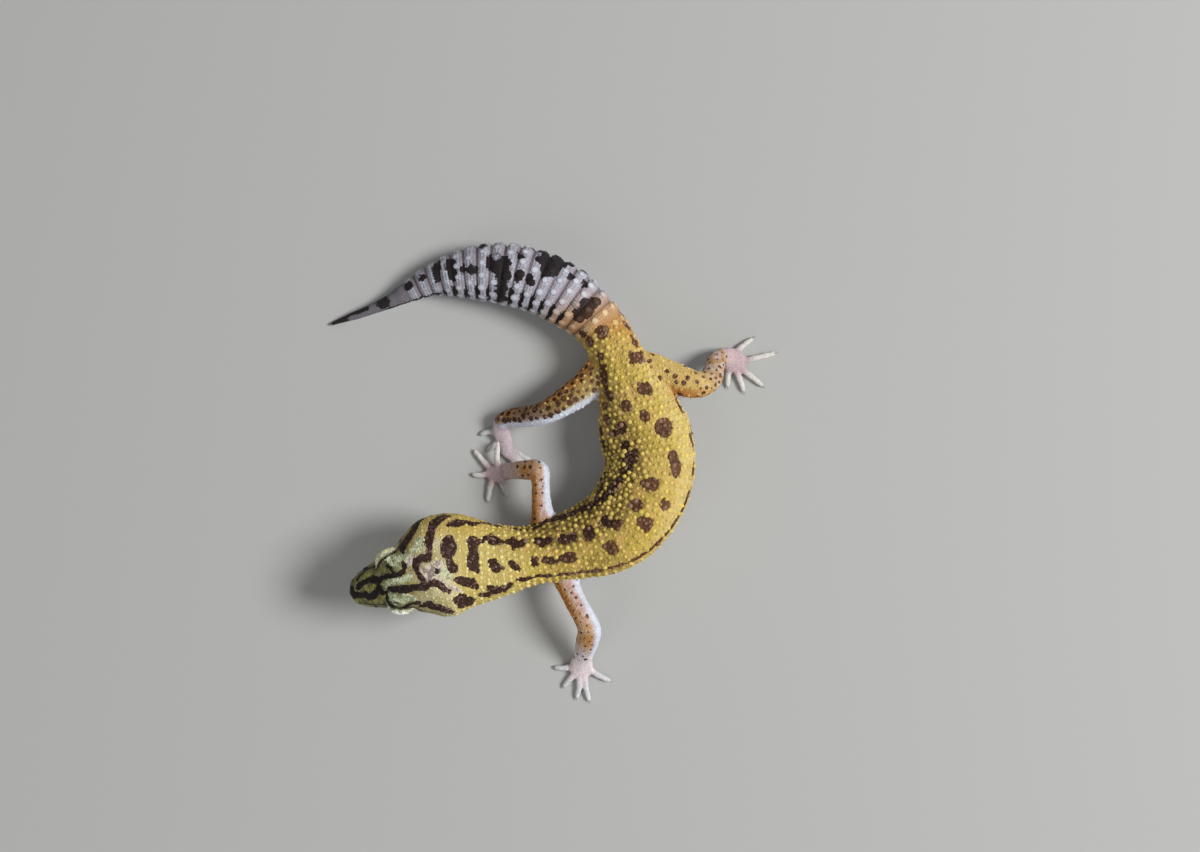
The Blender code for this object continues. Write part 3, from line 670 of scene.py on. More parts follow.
def buildSkin():
    skin = buildBody()
    bodyPoints, _ = meshArrays(skin.data)
    facts = {name: getAttribute(skin.data, name) for name in ("along", "girth", "around", "lid", "lidTurn")}
    legs, limbPoints, limbFacts = buildLimbs()
    limbSurface, _ = meshArrays(legs.data)
    join = skin.modifiers.new("join", "BOOLEAN")
    join.operation = "UNION"
    join.solver = "EXACT"
    join.object = legs
    applyModifiers(skin)
    bpy.data.objects.remove(legs)
    # the join leaves faces with many corners, some of them folded
    editMesh(skin.data, lambda shape: bmesh.ops.triangulate(shape, faces=shape.faces))
    points, _ = meshArrays(skin.data)
    onBodyRow, bodyAway = nearestRows(points, bodyPoints)
    _, limbAway = nearestRows(points, limbSurface)
    isLimb = limbAway < bodyAway
    cut = np.minimum(bodyAway, limbAway) > 0.002
    nearLimb, _ = nearestRows(points[isLimb], limbPoints)
    softenNear(skin.data, cut & (points[:, 2] > 1.5), 9, 40)
    for name, values in facts.items():
        setAttribute(skin.data, name, values[onBodyRow])
    rows = np.zeros((len(points), limbFacts.shape[1]))
    rows[isLimb] = limbFacts[nearLimb]
    for k, name in enumerate(("down", "turn", "hand", "toeShare", "toe", "limbNumber")):
        setAttribute(skin.data, name, rows[:, k])
    setAttribute(skin.data, "isLimb", isLimb)
    return skin


# Markings, laid out by distance along and round the body in millimetres.
# A spot is along, girth, half its length, half its width; each point of a stroke is along, girth, half width.
darkMarks = {
    "spots": (
        (21.0, 0.4, 0.45, 0.5), (55.6, -1.9, 1.4, 1.7), (58.9, 3.1, 1.3, 1.8), (66.5, 3.8, 1.4, 1.9),
        (68.9, -0.4, 1.3, 1.5), (71.5, 5.5, 0.9, 1.3), (74.3, 0.5, 1.5, 1.9), (85.8, 4.3, 2.1, 2.1),
        (95.1, 3.1, 1.4, 1.8), (84.1, -5.2, 1.2, 1.2), (91.5, -8.3, 1.4, 1.1), (88.3, -4.9, 1.3, 1.2),
        (87.8, -7.2, 0.7, 0.8), (94.7, -8.2, 0.9, 1.1), (93.0, -2.4, 1.2, 1.2), (89.4, 0.9, 1.3, 1.1),
        (105.8, -3.8, 1.0, 0.9), (105.6, 6.0, 1.5, 0.8), (109.2, 6.3, 0.8, 0.8), (111.8, 8.4, 0.8, 0.8),
        (57.0, 12.4, 0.7, 0.6), (64.5, 14.2, 0.9, 0.7), (75.0, 15.2, 0.8, 0.8), (84.0, 14.6, 0.9, 0.7),
        (93.0, 13.6, 0.7, 0.6), (60.5, -13.6, 0.7, 0.8), (70.0, -13.0, 0.9, 0.8), (79.0, -12.4, 0.8, 0.7),
        (86.5, -12.6, 0.8, 0.8), (110.8, -0.9, 1.8, 1.3), (113.4, -4.6, 1.0, 1.0), (110.6, -4.6, 1.2, 1.3),
        (117.2, -0.2, 2.0, 3.6), (124.1, 4.3, 1.1, 1.0), (120.8, 4.9, 0.9, 1.3), (135.2, 4.4, 0.9, 1.1),
        (134.2, -0.5, 1.0, 1.2), (131.8, -0.3, 1.0, 1.1), (144.5, 0.2, 1.3, 1.1), (146.9, 0.8, 0.9, 1.2),
        (132.5, 8.8, 0.8, 0.9), (142.8, 6.6, 0.9, 0.9), (122.6, 10.2, 0.9, 1.0), (115.2, 11.0, 1.0, 0.9),
        (126.0, -11.5, 0.8, 0.9), (138.2, 10.5, 1.2, 1.1), (147.4, 7.4, 0.9, 0.9), (156.4, 1.0, 0.8, 0.8),
        (160.2, 0.8, 1.3, 1.0), (167.4, 0.6, 1.5, 1.8), (178.6, 0.0, 2.2, 1.6)),
    "strokes": (
        ((1.0, -1.5, 0.6), (0.8, -0.3, 0.75), (0.8, 0.9, 0.6)),
        ((1.1, 0.3, 0.65), (2.4, 0.9, 0.7), (3.7, 1.2, 0.75), (4.3, 1.9, 0.8), (5.5, 1.8, 0.75),
         (6.5, 0.9, 0.8), (7.4, 0.1, 0.65)),
        ((7.4, 0.7, 0.7), (7.9, 1.8, 0.5)),
        ((2.6, -2.7, 0.35), (3.7, -4.1, 0.5), (4.8, -5.1, 0.5), (5.9, -5.4, 0.5), (7.4, -5.1, 0.45),
         (8.3, -4.7, 0.4), (9.1, -5.3, 0.4), (10.3, -6.1, 0.4), (11.4, -6.6, 0.35), (12.5, -7.0, 0.3),
         (13.8, -7.3, 0.35)),
        ((2.3, -0.9, 0.5), (2.9, -1.3, 0.6), (4.0, -1.7, 0.6), (5.3, -1.8, 0.65), (6.6, -1.9, 0.9),
         (7.7, -1.4, 0.9), (9.2, -1.6, 0.65), (10.2, -1.7, 0.55), (11.7, -1.6, 0.65), (13.2, -1.5, 0.65),
         (14.0, -1.8, 0.6)),
        ((10.6, -4.0, 0.35), (11.3, -3.2, 0.6), (11.5, -2.3, 0.45)),
        ((14.3, -3.6, 0.45), (14.5, -2.6, 0.65)),
        ((2.9, 3.1, 0.3), (4.1, 4.0, 0.3), (5.7, 4.7, 0.3), (7.1, 4.8, 0.35)),
        ((8.8, 1.6, 0.25), (8.5, 3.0, 0.35), (8.4, 4.3, 0.5), (9.1, 5.2, 0.5), (9.9, 6.0, 0.5),
         (11.2, 6.4, 0.5), (12.2, 6.2, 0.4), (13.6, 5.9, 0.45), (14.7, 6.2, 0.6)),
        ((9.7, 1.0, 0.5), (10.7, 1.5, 0.8), (12.3, 1.9, 0.9), (13.8, 2.2, 0.95), (15.4, 2.4, 0.8),
         (16.9, 2.7, 0.9), (18.2, 3.0, 0.7), (19.1, 2.7, 0.8), (20.2, 2.9, 0.8), (20.9, 3.6, 0.75),
         (21.7, 4.7, 0.6), (22.6, 5.4, 0.45)),
        ((23.9, -12.3, 0.65), (22.8, -11.1, 1.0), (22.1, -10.2, 0.8), (21.7, -8.9, 0.65),
         (21.3, -7.6, 0.75), (20.8, -6.5, 0.9), (20.8, -4.9, 0.5), (20.2, -3.5, 0.65), (19.7, -2.5, 0.75)),
        ((19.8, -2.7, 0.75), (18.6, -3.2, 0.9), (17.5, -2.8, 0.9), (16.8, -1.7, 0.75), (16.8, -0.7, 0.55),
         (17.1, 0.7, 0.65), (17.5, 1.6, 0.65), (17.7, 2.6, 0.65)),
        ((20.7, -15.5, 0.35), (19.9, -14.2, 0.6), (19.2, -12.0, 0.8), (18.2, -10.5, 0.95),
         (17.0, -9.3, 1.1), (16.0, -8.2, 1.1), (15.2, -7.1, 1.0), (15.1, -6.1, 0.5)),
        ((24.1, -5.7, 0.95), (24.1, -4.3, 1.4), (23.9, -2.9, 1.15), (23.9, -1.8, 0.55), (24.0, -1.0, 0.65),
         (24.5, 0.5, 1.1)),
        ((24.9, -9.4, 0.65), (25.7, -9.8, 1.05), (26.8, -10.0, 0.7), (28.4, -9.7, 0.75),
         (29.8, -10.3, 0.3), (31.9, -11.3, 0.5), (33.7, -11.0, 0.6), (35.3, -9.7, 0.35)),
        ((28.8, -5.2, 1.15), (28.9, -3.8, 1.1), (29.0, -2.7, 0.85), (28.9, -1.3, 1.2), (28.9, 0.1, 1.3),
         (29.5, 1.2, 0.75)),
        ((29.6, -5.0, 0.7), (30.7, -5.2, 0.5), (32.0, -6.0, 0.7), (33.3, -5.3, 1.1), (34.7, -4.9, 0.9),
         (35.6, -4.5, 0.45)),
        ((37.6, -4.4, 0.8), (38.8, -3.8, 1.05), (40.1, -3.6, 0.9), (40.6, -3.9, 0.45)),
        ((38.0, -3.2, 0.6), (38.2, -2.7, 0.3)),
        ((43.3, -3.5, 0.6), (43.8, -3.2, 0.85), (44.5, -2.3, 0.9), (46.1, -2.7, 0.75)),
        ((49.5, -2.1, 1.0), (50.7, -1.8, 0.95), (51.7, -1.8, 0.95)),
        ((33.0, -0.1, 0.95), (33.9, 1.2, 1.0)),
        ((37.0, 0.3, 0.7), (37.6, 1.2, 0.8), (38.2, 2.2, 0.6)),
        ((42.1, 0.4, 0.6), (42.0, 1.5, 0.8)),
        ((45.0, 1.4, 0.85), (46.3, 2.0, 0.85), (47.5, 1.8, 0.4), (49.0, 2.1, 1.05), (50.3, 2.4, 1.1)),
        ((24.6, 3.2, 0.4), (25.9, 3.3, 0.85), (27.2, 3.7, 1.1), (28.5, 4.2, 0.95), (29.4, 5.1, 0.6)),
        ((24.1, 8.2, 1.0), (25.9, 8.6, 2.1), (27.3, 9.0, 1.7)),
        ((30.4, 7.3, 0.5), (31.8, 7.8, 0.6)),
        ((32.1, 5.3, 0.6), (32.8, 6.7, 1.0), (33.7, 6.8, 1.1), (34.8, 6.3, 1.1), (36.0, 5.7, 0.6)),
        ((38.0, 4.6, 0.45), (38.3, 4.9, 0.5), (39.4, 5.1, 0.45), (40.4, 4.9, 0.4), (41.9, 4.9, 0.35),
         (44.2, 5.6, 0.3), (46.4, 6.2, 0.25)),
        ((37.9, -9.0, 0.3), (40.0, -7.6, 0.45), (41.7, -7.2, 0.35), (42.9, -7.1, 0.4), (44.2, -7.2, 0.4),
         (45.2, -7.3, 0.25)),
        ((15.3, 7.4, 0.7), (16.7, 7.1, 1.05), (17.4, 8.2, 1.05), (18.6, 8.8, 0.95), (20.0, 10.0, 1.05),
         (21.6, 11.2, 0.75)),
        ((60.7, -2.8, 1.25), (62.3, -1.0, 1.25)),
        ((77.7, 5.9, 1.15), (80.0, 5.0, 1.15)),
        ((43.6, -9.6, 0.7), (46.2, -9.0, 0.7)),
        ((48.0, -8.3, 0.7), (51.0, -8.2, 0.7), (53.0, -8.5, 0.7)),
        ((54.6, -8.4, 0.75), (58.2, -8.1, 0.75), (61.0, -8.2, 0.75)),
        ((62.8, -8.1, 0.8), (66.0, -7.7, 0.8), (68.4, -7.2, 0.8)),
        ((69.8, -7.2, 0.8), (73.0, -6.5, 0.8)),
        ((74.8, -6.1, 0.7), (77.0, -5.2, 0.7)),
        ((78.6, -4.4, 0.6), (81.0, -3.4, 0.65)),
        ((82.5, -3.2, 0.6), (81.6, -5.0, 0.55), (80.6, -6.4, 0.55)),
        ((103.6, -4.0, 0.85), (100.2, -5.1, 0.85), (98.0, -5.6, 0.85), (95.8, -5.3, 0.85)),
        ((102.4, 3.2, 1.2), (102.2, 5.0, 1.2), (101.8, 7.0, 1.2)),
        ((128.8, 10.6, 2.3), (128.8, 8.0, 2.3), (129.0, 5.4, 2.3)),
        ((126.8, 8.6, 2.2), (128.2, 5.6, 2.2), (128.4, 3.2, 1.9), (128.8, 1.6, 0.9)),
        ((137.8, 2.6, 1.35), (137.9, -0.8, 1.35), (137.8, -4.2, 1.35), (137.6, -6.6, 1.35)),
        ((140.7, 2.8, 1.2), (140.8, 0.8, 1.2)),
        ((149.8, 2.8, 1.2), (149.7, 1.0, 1.2), (149.6, -0.8, 1.2)),
        ((152.4, 3.6, 0.75), (152.9, 1.4, 0.75), (153.2, -0.6, 0.75)),
        ((153.5, -4.4, 0.45), (158.0, -3.6, 0.45), (163.0, -2.8, 0.45), (167.0, -2.2, 0.45)),
        ((171.5, 0.6, 0.8), (175.8, 0.8, 0.8))),
}
mintMarks = {
    "strokes": (
        ((11.6, -6.0, 0.65), (12.5, -5.1, 0.9), (14.0, -4.9, 0.9), (15.4, -5.1, 0.55)),
        ((12.3, -4.0, 0.55), (12.9, -3.1, 0.6)),
        ((8.8, -0.2, 0.4), (10.4, -0.5, 0.45), (12.6, -0.1, 0.5), (14.6, 0.0, 0.7), (15.2, -0.5, 0.45)),
        ((9.3, 3.1, 0.7), (10.4, 3.7, 0.9), (12.2, 4.2, 0.95), (14.1, 4.5, 0.6)),
        ((19.2, -7.4, 0.5), (18.6, -6.0, 0.8), (17.5, -5.5, 0.75)),
        ((22.5, 0.6, 0.65), (23.2, 2.2, 0.75))),
}
lilacMarks = {
    "strokes": (
        ((18.2, -0.5, 0.8), (19.5, -0.5, 1.3), (20.5, -0.2, 1.2), (21.9, -0.6, 0.85)),
        ((18.4, 0.9, 0.55), (19.6, 1.2, 0.75)),
        ((20.8, 1.7, 0.4), (21.8, 3.5, 0.5), (24.1, 5.0, 0.5), (25.6, 5.8, 0.35)),
        ((15.4, -3.3, 0.55), (16.4, -4.2, 0.55)),
        ((19.0, -2.8, 0.35), (19.2, -2.7, 0.3))),
}
mossMarks = {
    "strokes": (
        ((4.5, -0.1, 0.45), (5.5, -0.3, 0.65), (6.4, -0.5, 0.45)),
        ((3.8, -2.8, 0.4), (5.5, -3.5, 0.6), (7.3, -3.9, 0.55)),
        ((2.0, -2.5, 0.35), (2.4, -3.1, 0.45)),
        ((1.5, 2.1, 0.6), (2.4, 2.0, 0.45)),
        ((4.6, 3.1, 0.35), (6.4, 2.9, 0.65), (8.1, 2.5, 0.55)),
        ((9.3, -4.2, 0.55), (9.5, -3.3, 0.6))),
}
lipBars = {"places": (4.5, 7.7, 12.45, 17.2), "half": 0.5, "over": 2.6, "under": -1.4}
# limb, distance down it, and how much larger its dots are from there on
limbDots = {"seed": 11, "start": 4.0, "apart": 1.4, "radius": (0.30, 0.52),
            "larger": ((0, 0.0, 0.72), (0, 16.5, 1.15), (0, 21.0, 0.0), (1, 0.0, 0.72), (2, 0.0, 1.3),
                       (2, 9.0, 1.5)),
            "thighEnd": 15.0, "onThigh": 0.45, "thighLarger": 1.35}


outside = -3.0      # the distance, in millimetres, that stands for well outside every mark


# Signed distance to a set of marks in millimetres, positive inside them
def markDistance(marks, along, girth):
    best = np.full(len(along), outside)
    for a, g, long, wide in marks.get("spots", ()):
        best = np.maximum(best, (1.0 - np.hypot((along - a) / long, (girth - g) / wide)) * min(long, wide))
    for points in marks["strokes"]:
        for (a, g, half), (b, h, nextHalf) in zip(points, points[1:]):
            step = np.array((b - a, h - g))
            t = np.clip(((along - a) * step[0] + (girth - g) * step[1]) / (step @ step), 0.0, 1.0)
            away = np.hypot(along - a - t * step[0], girth - g - t * step[1])
            best = np.maximum(best, half + t * (nextHalf - half) - away)
    return best


# Dots down the upper side of the limbs, spread at random but never close together
def dotDistance(points, pale, down, hand, number, isLimb):
    rng = np.random.default_rng(limbDots["seed"])
    rows = np.flatnonzero(isLimb & (hand < 0.5) & (pale < 0.3) & (down > limbDots["start"]))
    rng.shuffle(rows)
    kept = []
    for row in rows:
        if all(np.linalg.norm(points[row] - points[other]) > limbDots["apart"] for other in kept):
            kept.append(row)
    sizes = rng.uniform(*limbDots["radius"], len(kept))
    larger = np.ones(len(kept))
    for limb, start, factor in limbDots["larger"]:
        larger[(number[kept] == limb) & (down[kept] > start)] = factor
    onThigh = (number[kept] == 3) & (down[kept] < limbDots["thighEnd"])
    chosen = rng.random(onThigh.sum()) < limbDots["onThigh"]
    larger[onThigh] = np.where(chosen, limbDots["thighLarger"], 0.0)
    sizes *= larger
    tree = pointTree(points[kept])
    distance = np.full(len(points), outside)
    for row in np.flatnonzero(isLimb):
        _, i, away = tree.find(points[row])
        distance[row] = sizes[i] - away
    return distance


# Distance inside the dark marks of head, trunk and tail
def darkOnBody(along, girth, share, lid, rise, soft):
    dark = markDistance(darkMarks, along, girth)
    # a line along the fold of the flank
    line = 0.3 + 0.16 * soft + 0.35 * (1.0 - fade(44.0, 52.0, along))
    line -= np.abs(np.abs(girth) - follow(flankLine, along) + 0.25)
    onFlank = (along > np.where(girth > 0.0, 45.5, 62.0)) & (along < 99.0)
    line = np.where(onFlank, line - 0.35 * fade(72.0, 78.0, along) * (soft < 0.05), outside)
    dark = np.maximum(dark, line)
    # the band inside the bend is a chain of blots
    chain = bump(girth, -7.0, 3.2) * fade(46.0, 50.0, along) * (1.0 - fade(80.0, 84.0, along))
    dark += chain * (0.2 + 0.5 * np.cos(2.5 * along + girth))
    for place in lipBars["places"]:
        bar = lipBars["half"] - np.abs(along - place - 0.25 * rise)
        high = np.minimum(lipBars["over"] - rise, rise - lipBars["under"])
        dark = np.maximum(dark, np.where(along < 19.0, np.minimum(bar, high), outside))
    # thin bars in the grooves of the tail, on both sides
    inner = fade(-2.6, -4.6, girth) * fade(117.0, 121.0, along) * (1.0 - fade(151.0, 155.0, along))
    outer = fade(6.5, 9.0, girth) * fade(119.0, 124.0, along) * (1.0 - fade(150.0, 155.0, along))
    gap = np.maximum(inner * 0.78, outer * 0.25) - tailGroove(along)
    dark = np.maximum(dark, np.where((inner + outer > 0.02) & (share < 0.8), gap, outside))
    return np.where((share < 0.8) & (np.abs(lid) > 1.5), dark, outside)


# Where each kind of scale grows
def growZones(points, normals, isLimb, along, share, lid, rise, hand):
    bare = lid <= 0.14
    bare |= earReach(along, points[:, 2]) <= 0.95
    bare |= (nostrilReach(along, points[:, 2]) <= 0.4) & (along <= 4.0)
    bare |= (along < 17.6) & (rise > -1.15) & (rise < 1.3)
    head = ~isLimb & (along < 29.0) & ~bare
    back = ~isLimb & (along >= 29.0) & (along < 112.0)
    onHand = isLimb & (hand >= 0.5)
    sole = normals[:, 2] < -0.3
    return {"onSnout": head & (along < 8.5), "onHead": head & (along >= 8.5),
            "onBack": back & (share < 0.58), "onBelly": back & (share >= 0.58),
            "onLimbs": isLimb & (hand < 0.5), "onFeet": onHand & ~sole, "onSoles": onHand & sole}


def markSkin(skin):
    mesh = skin.data
    points, normals = meshArrays(mesh)
    a = {name: getAttribute(mesh, name) for name in (
        "along", "girth", "around", "lid", "lidTurn", "down", "turn", "hand", "toeShare", "toe", "limbNumber",
        "isLimb")}
    isLimb = a["isLimb"] > 0.5
    trunk = ~isLimb
    along, girth, share = a["along"], a["girth"], np.abs(a["around"])
    lid, down, hand, number = a["lid"], a["down"], a["hand"], a["limbNumber"]
    isArm, leftArm, rightLeg, leftLeg = number < 2, number == 1, number == 2, number == 3
    rise = points[:, 2] - mouthHeight(along)
    ragged = 0.5 * cloud(points, 1.7, 12.0) + 0.32 * cloud(points, 0.9) + 0.22 * cloud(points, 0.42, 3.0)
    soft = cloud(points, 4.0, 9.0)
    # limbs: pale underneath and on one side, rust along the other edge; on the arms the pale side is the one
    # turned to the light, so it is partly painted light
    away = np.select([isArm, rightLeg], [normals[:, 1], normals[:, 0]], 0.0)
    lean = 0.85 * away - 0.35 * normals[:, 2] + 0.14 * rightLeg + 0.2 * isArm
    palest = np.where(leftLeg, fade(0.2, -0.45, normals[:, 2]), fade(0.0, 0.5, lean))
    edge = np.select([isArm, rightLeg], [-normals[:, 1], -normals[:, 0]], 1.3 * normals[:, 0])
    dots = dotDistance(points, palest, down, hand, number, isLimb)
    dark = np.where(isLimb, dots, darkOnBody(along, girth, share, lid, rise, soft))
    dark += ragged * np.where(isLimb, 0.4, 0.5 + 0.16 * fade(24.0, 40.0, along))
    dark += 0.14 * trunk * (1.0 - fade(112.0, 120.0, along)) * fade(12.0, 26.0, along)
    palest = np.where(rightLeg & (hand > 0.5), 0.6, palest)
    palest = np.where(leftArm, np.maximum(palest, 0.85 * fade(21.0, 28.0, down)), palest)
    # painted shading between the tubercles: 1 is painted shade, on the inside of the bend, and -1 painted
    # light, on the outside
    paintedShadingAndTone = 0.2 + 0.8 * fade(2.0, -5.5, girth)
    paintedShadingAndTone -= 1.05 * fade(2.5, 9.0, girth + 1.5 * soft) * fade(57.0, 70.0, along)
    # more painted shade at the shoulders and more painted light towards the hips
    paintedShadingAndTone += 0.3 * bump(along, 55.0, 12.0) - 0.45 * fade(84.0, 94.0, along)
    paintedShadingAndTone *= trunk * fade(34.0, 46.0, along) * (1.0 - fade(104.0, 114.0, along))
    # on the right leg painted shade, growing down the leg and towards its front edge, partly the leg's own
    # darker tone; -1 on the left leg and 0 on the arms pick their tones
    rightLegShadeAndTone = 0.3 + 0.5 * fade(8.0, 18.0, down) + 0.5 * np.clip(edge, 0.0, 1.0)
    paintedShadingAndTone = np.where(isLimb, np.select([rightLeg, leftLeg], [rightLegShadeAndTone, -1.0], 0.0), paintedShadingAndTone)
    # painted light on the left lid
    paintedShadingAndTone = np.where(trunk & (along < 15.0) & (lid < 1.2) & (girth > 0.0), -1.0, paintedShadingAndTone)
    # rust: the root of the tail, the hips, then the edges and joints of the limbs
    rust = trunk * np.clip(1.2 * bump(along + 0.6 * girth, 114.4, 5.0), 0.0, 1.0)
    rust *= 0.72 + 0.28 * fade(3.0, -4.0, girth)
    rust = np.maximum(rust, trunk * 0.55 * bump(along, 98.0, 7.0) * fade(7.0, 10.0, np.abs(girth)))
    wrist = down - 4.0 * leftArm
    elbow = isArm * bump(down - 1.6 * leftArm, 18.5, 3.3) * fade(0.2, 0.8, normals[:, 2])
    for amount in (fade(0.05, 0.65, edge) * (1.0 - 0.6 * fade(13.0, 20.0, down)), 0.9 * elbow,
                   0.2 * leftLeg * (1.0 - palest) * (1.0 - fade(18.0, 26.0, down)),
                   0.8 * rightLeg * (1.0 - palest) * bump(down, 28.0, 3.0)):
        rust = np.maximum(rust, isLimb * amount)
    handTone = np.maximum(hand, 0.9 * isArm * fade(19.0, 24.5, wrist))
    handTone *= np.where(leftArm | rightLeg, 0.55, 1.0)
    lidEdge = eye["lidWide"] * (1.0 - 0.4 * fade(0.2, -0.6, np.sin(a["lidTurn"])))
    # the crease: a wine-red line in the tail's grooves widened into painted shade, and painted shade in the
    # mouth's seam
    groove = tailGroove(along)
    grooves = fade(tailRings["start"], tailRings["start"] + 6.0, along) * (1.0 - fade(158.0, 166.0, along))
    grooves *= np.maximum(bump(groove, 0.0, 0.32), 0.4 * bump(groove, 0.0, 0.75))
    straw = fade(12.0, 19.0, along + soft) * (1.0 - fade(33.0, 44.0, along + 3.0 * soft))
    values = {
        "dark": dark,
        "mint": np.where(trunk, markDistance(mintMarks, along, girth), outside) + 1.1 * ragged + 0.2,
        "lilac": np.where(trunk, markDistance(lilacMarks, along, girth), outside) + 1.4 * ragged + 0.1,
        "moss": np.where(trunk, markDistance(mossMarks, along, girth), outside) + 0.7 * ragged,
        # on the limbs the pale sides, on the arms partly painted light
        "belly": np.where(isLimb, palest, fade(0.5, 0.68, share + 0.05 * soft)),
        "straw": trunk * straw * (1.0 - 0.75 * fade(-5.0, -8.5, girth)),
        "olive": trunk * (1.0 - fade(9.0, 22.5, along + 1.6 * soft - 0.12 * np.abs(girth))),
        "paintedShadingAndTone": paintedShadingAndTone,
        "rust": rust,
        "tail": trunk * fade(110.0, 121.0, along + 0.28 * girth + 1.5 * soft),
        "tailEnd": trunk * fade(138.0, 168.0, along),
        "limb": isLimb * fade(1.0, 6.0, down),
        "thigh": isLimb * ~isArm * (1.0 - fade(15.0, 20.0, down)),
        "hand": isLimb * handTone,
        "toeTip": a["toeShare"] * isLimb,
        "lidRim": trunk * (1.0 - fade(lidEdge - 0.4, lidEdge, lid + 0.3 * ragged)) * (lid > -0.6),
        # painted shade in the groove round each lid and where the lid meets the eye
        "lidShadeLine": trunk * np.maximum(bump(lid, eye["lidWide"] + 0.15, 0.3), 0.8 * bump(lid, -0.1, 0.22)),
        "crease": trunk * np.maximum(bump(rise, 0.0, 0.2) * (along < face["mouthEnd"]), grooves),
        "glow": np.zeros(len(points)),
        "vary": np.full(len(points), 0.5),
        "tip": np.zeros(len(points)),
        "grow": np.where(lid < 1.6, 0.8, 1.0) * (1.0 - 0.25 * a["toeShare"]),
        "stretch": np.ones(len(points)),
        **growZones(points, normals, isLimb, along, share, lid, rise, hand),
    }
    for name, value in values.items():
        setAttribute(mesh, name, value)
    # which way the scales lie, and the unwrap of the skin
    back = np.zeros_like(points)
    back[:, :2] = spineBack(along)
    for limbNumber, limb in enumerate(limbs.values()):
        path = limbTables(limb)[0][:, :3]
        rows = np.flatnonzero(isLimb & (number == limbNumber))
        knots = arcLengths(path)
        back[rows] = (smoothThrough(knots, path, np.clip(down[rows] + 0.5, 0.0, knots[-1]))
                      - smoothThrough(knots, path, np.clip(down[rows] - 0.5, 0.0, knots[-1] - 1.0)))
    setAttribute(mesh, "back", unit(back), "FLOAT_VECTOR")
    setAttribute(mesh, "unwrap", unwrapPlaces(a, isLimb), "FLOAT_VECTOR")


# The unwrap: strips of the body and the limbs, laid side by side to one scale, in millimetres
unwrap = {"size": 150.0, "limbGirth": 7.5, "toeStep": 0.4,
          "rows": ((0.0, 42.0, 4.0, 34.0), (42.0, 110.0, 52.0, 34.0), (110.0, 182.0, 4.0, 98.0)),
          "limbs": ((84.0, 80.0), (84.0, 104.0), (84.0, 128.0), (120.0, 128.0))}


def unwrapPlaces(a, isLimb):
    u = np.zeros(len(isLimb))
    v = np.zeros(len(isLimb))
    for start, stop, left, middle in unwrap["rows"]:
        rows = (a["along"] >= start) & (a["along"] < stop)
        u[rows] = left + a["along"][rows] - start
        v[rows] = middle + a["girth"][rows]
    for number, (left, middle) in enumerate(unwrap["limbs"]):
        rows = isLimb & (a["limbNumber"] == number)
        u[rows] = left + a["down"][rows]
        v[rows] = middle + a["turn"][rows] * unwrap["limbGirth"] + a["toe"][rows] * unwrap["toeStep"]
    return np.stack([u / unwrap["size"], v / unwrap["size"], np.zeros(len(u))], axis=1)


# A socket that can be used in sums; each sum adds its Math node
class Value:
    def __init__(self, nodes, socket):
        self.nodes = nodes
        self.socket = socket

    def output(self, name):     # another output of the same node
        return Value(self.nodes, self.socket.node.outputs[name])

    def __add__(self, other):
        return self.nodes.maths("ADD", self, other)

    def __radd__(self, other):
        return self.nodes.maths("ADD", other, self)

    def __sub__(self, other):
        return self.nodes.maths("SUBTRACT", self, other)

    def __rsub__(self, other):
        return self.nodes.maths("SUBTRACT", other, self)

    def __mul__(self, other):
        return self.nodes.maths("MULTIPLY", self, other)

    def __rmul__(self, other):
        return self.nodes.maths("MULTIPLY", other, self)

    def __truediv__(self, other):
        return self.nodes.maths("DIVIDE", self, other)

    def __rtruediv__(self, other):
        return self.nodes.maths("DIVIDE", other, self)

    def __pow__(self, other):
        return self.nodes.maths("POWER", self, other)


class Nodes:
    def __init__(self, tree):
        self.tree = tree

    def add(self, kind, settings=None, inputs=None, output=0):
        node = self.tree.nodes.new(kind)
        for name, setting in (settings or {}).items():
            setattr(node, name, setting)
        for name, value in (inputs or {}).items():
            if isinstance(value, Value):
                self.tree.links.new(value.socket, node.inputs[name])
            else:
                node.inputs[name].default_value = value
        return Value(self, node.outputs[output])

    def maths(self, operation, first, second=0.0):
        return self.add("ShaderNodeMath", {"operation": operation}, {0: first, 1: second})

    def attribute(self, name):
        return self.add("ShaderNodeAttribute", {"attribute_name": name}, output="Fac")

    def ramp(self, value, start, end):
        return self.add("ShaderNodeMapRange", {"interpolation_type": "SMOOTHSTEP"},
                        {"Value": value, "From Min": start, "From Max": end})

    def blend(self, factor, first, second, mode="MIX"):
        colours = [colour if isinstance(colour, Value) else (*colour, 1.0) for colour in (first, second)]
        return self.add("ShaderNodeMix", {"data_type": "RGBA", "blend_type": mode},
                        {0: factor, 6: colours[0], 7: colours[1]}, 2)

    def noise(self, place, scale, detail=2.0):
        return self.add("ShaderNodeTexNoise", None, {"Vector": place, "Scale": scale, "Detail": detail})

    def cloud(self, place, size):     # noise with a size in millimetres
        return self.noise(place, 1.0 / (size * mm))

    def bumps(self, height, strength, depth):
        return self.add("ShaderNodeBump", None, {"Height": height, "Strength": strength, "Distance": depth})

    def vector(self, **parts):
        return self.add("ShaderNodeCombineXYZ", None, parts)


def newMaterial(name):
    material = bpy.data.materials.new(name)
    material.use_nodes = True
    nodes = Nodes(material.node_tree)
    shader = material.node_tree.nodes["Principled BSDF"]
    return material, nodes, shader


def connect(nodes, shader, **sockets):
    for name, value in sockets.items():
        nodes.tree.links.new(value.socket, shader.inputs[name.replace("_", " ")])


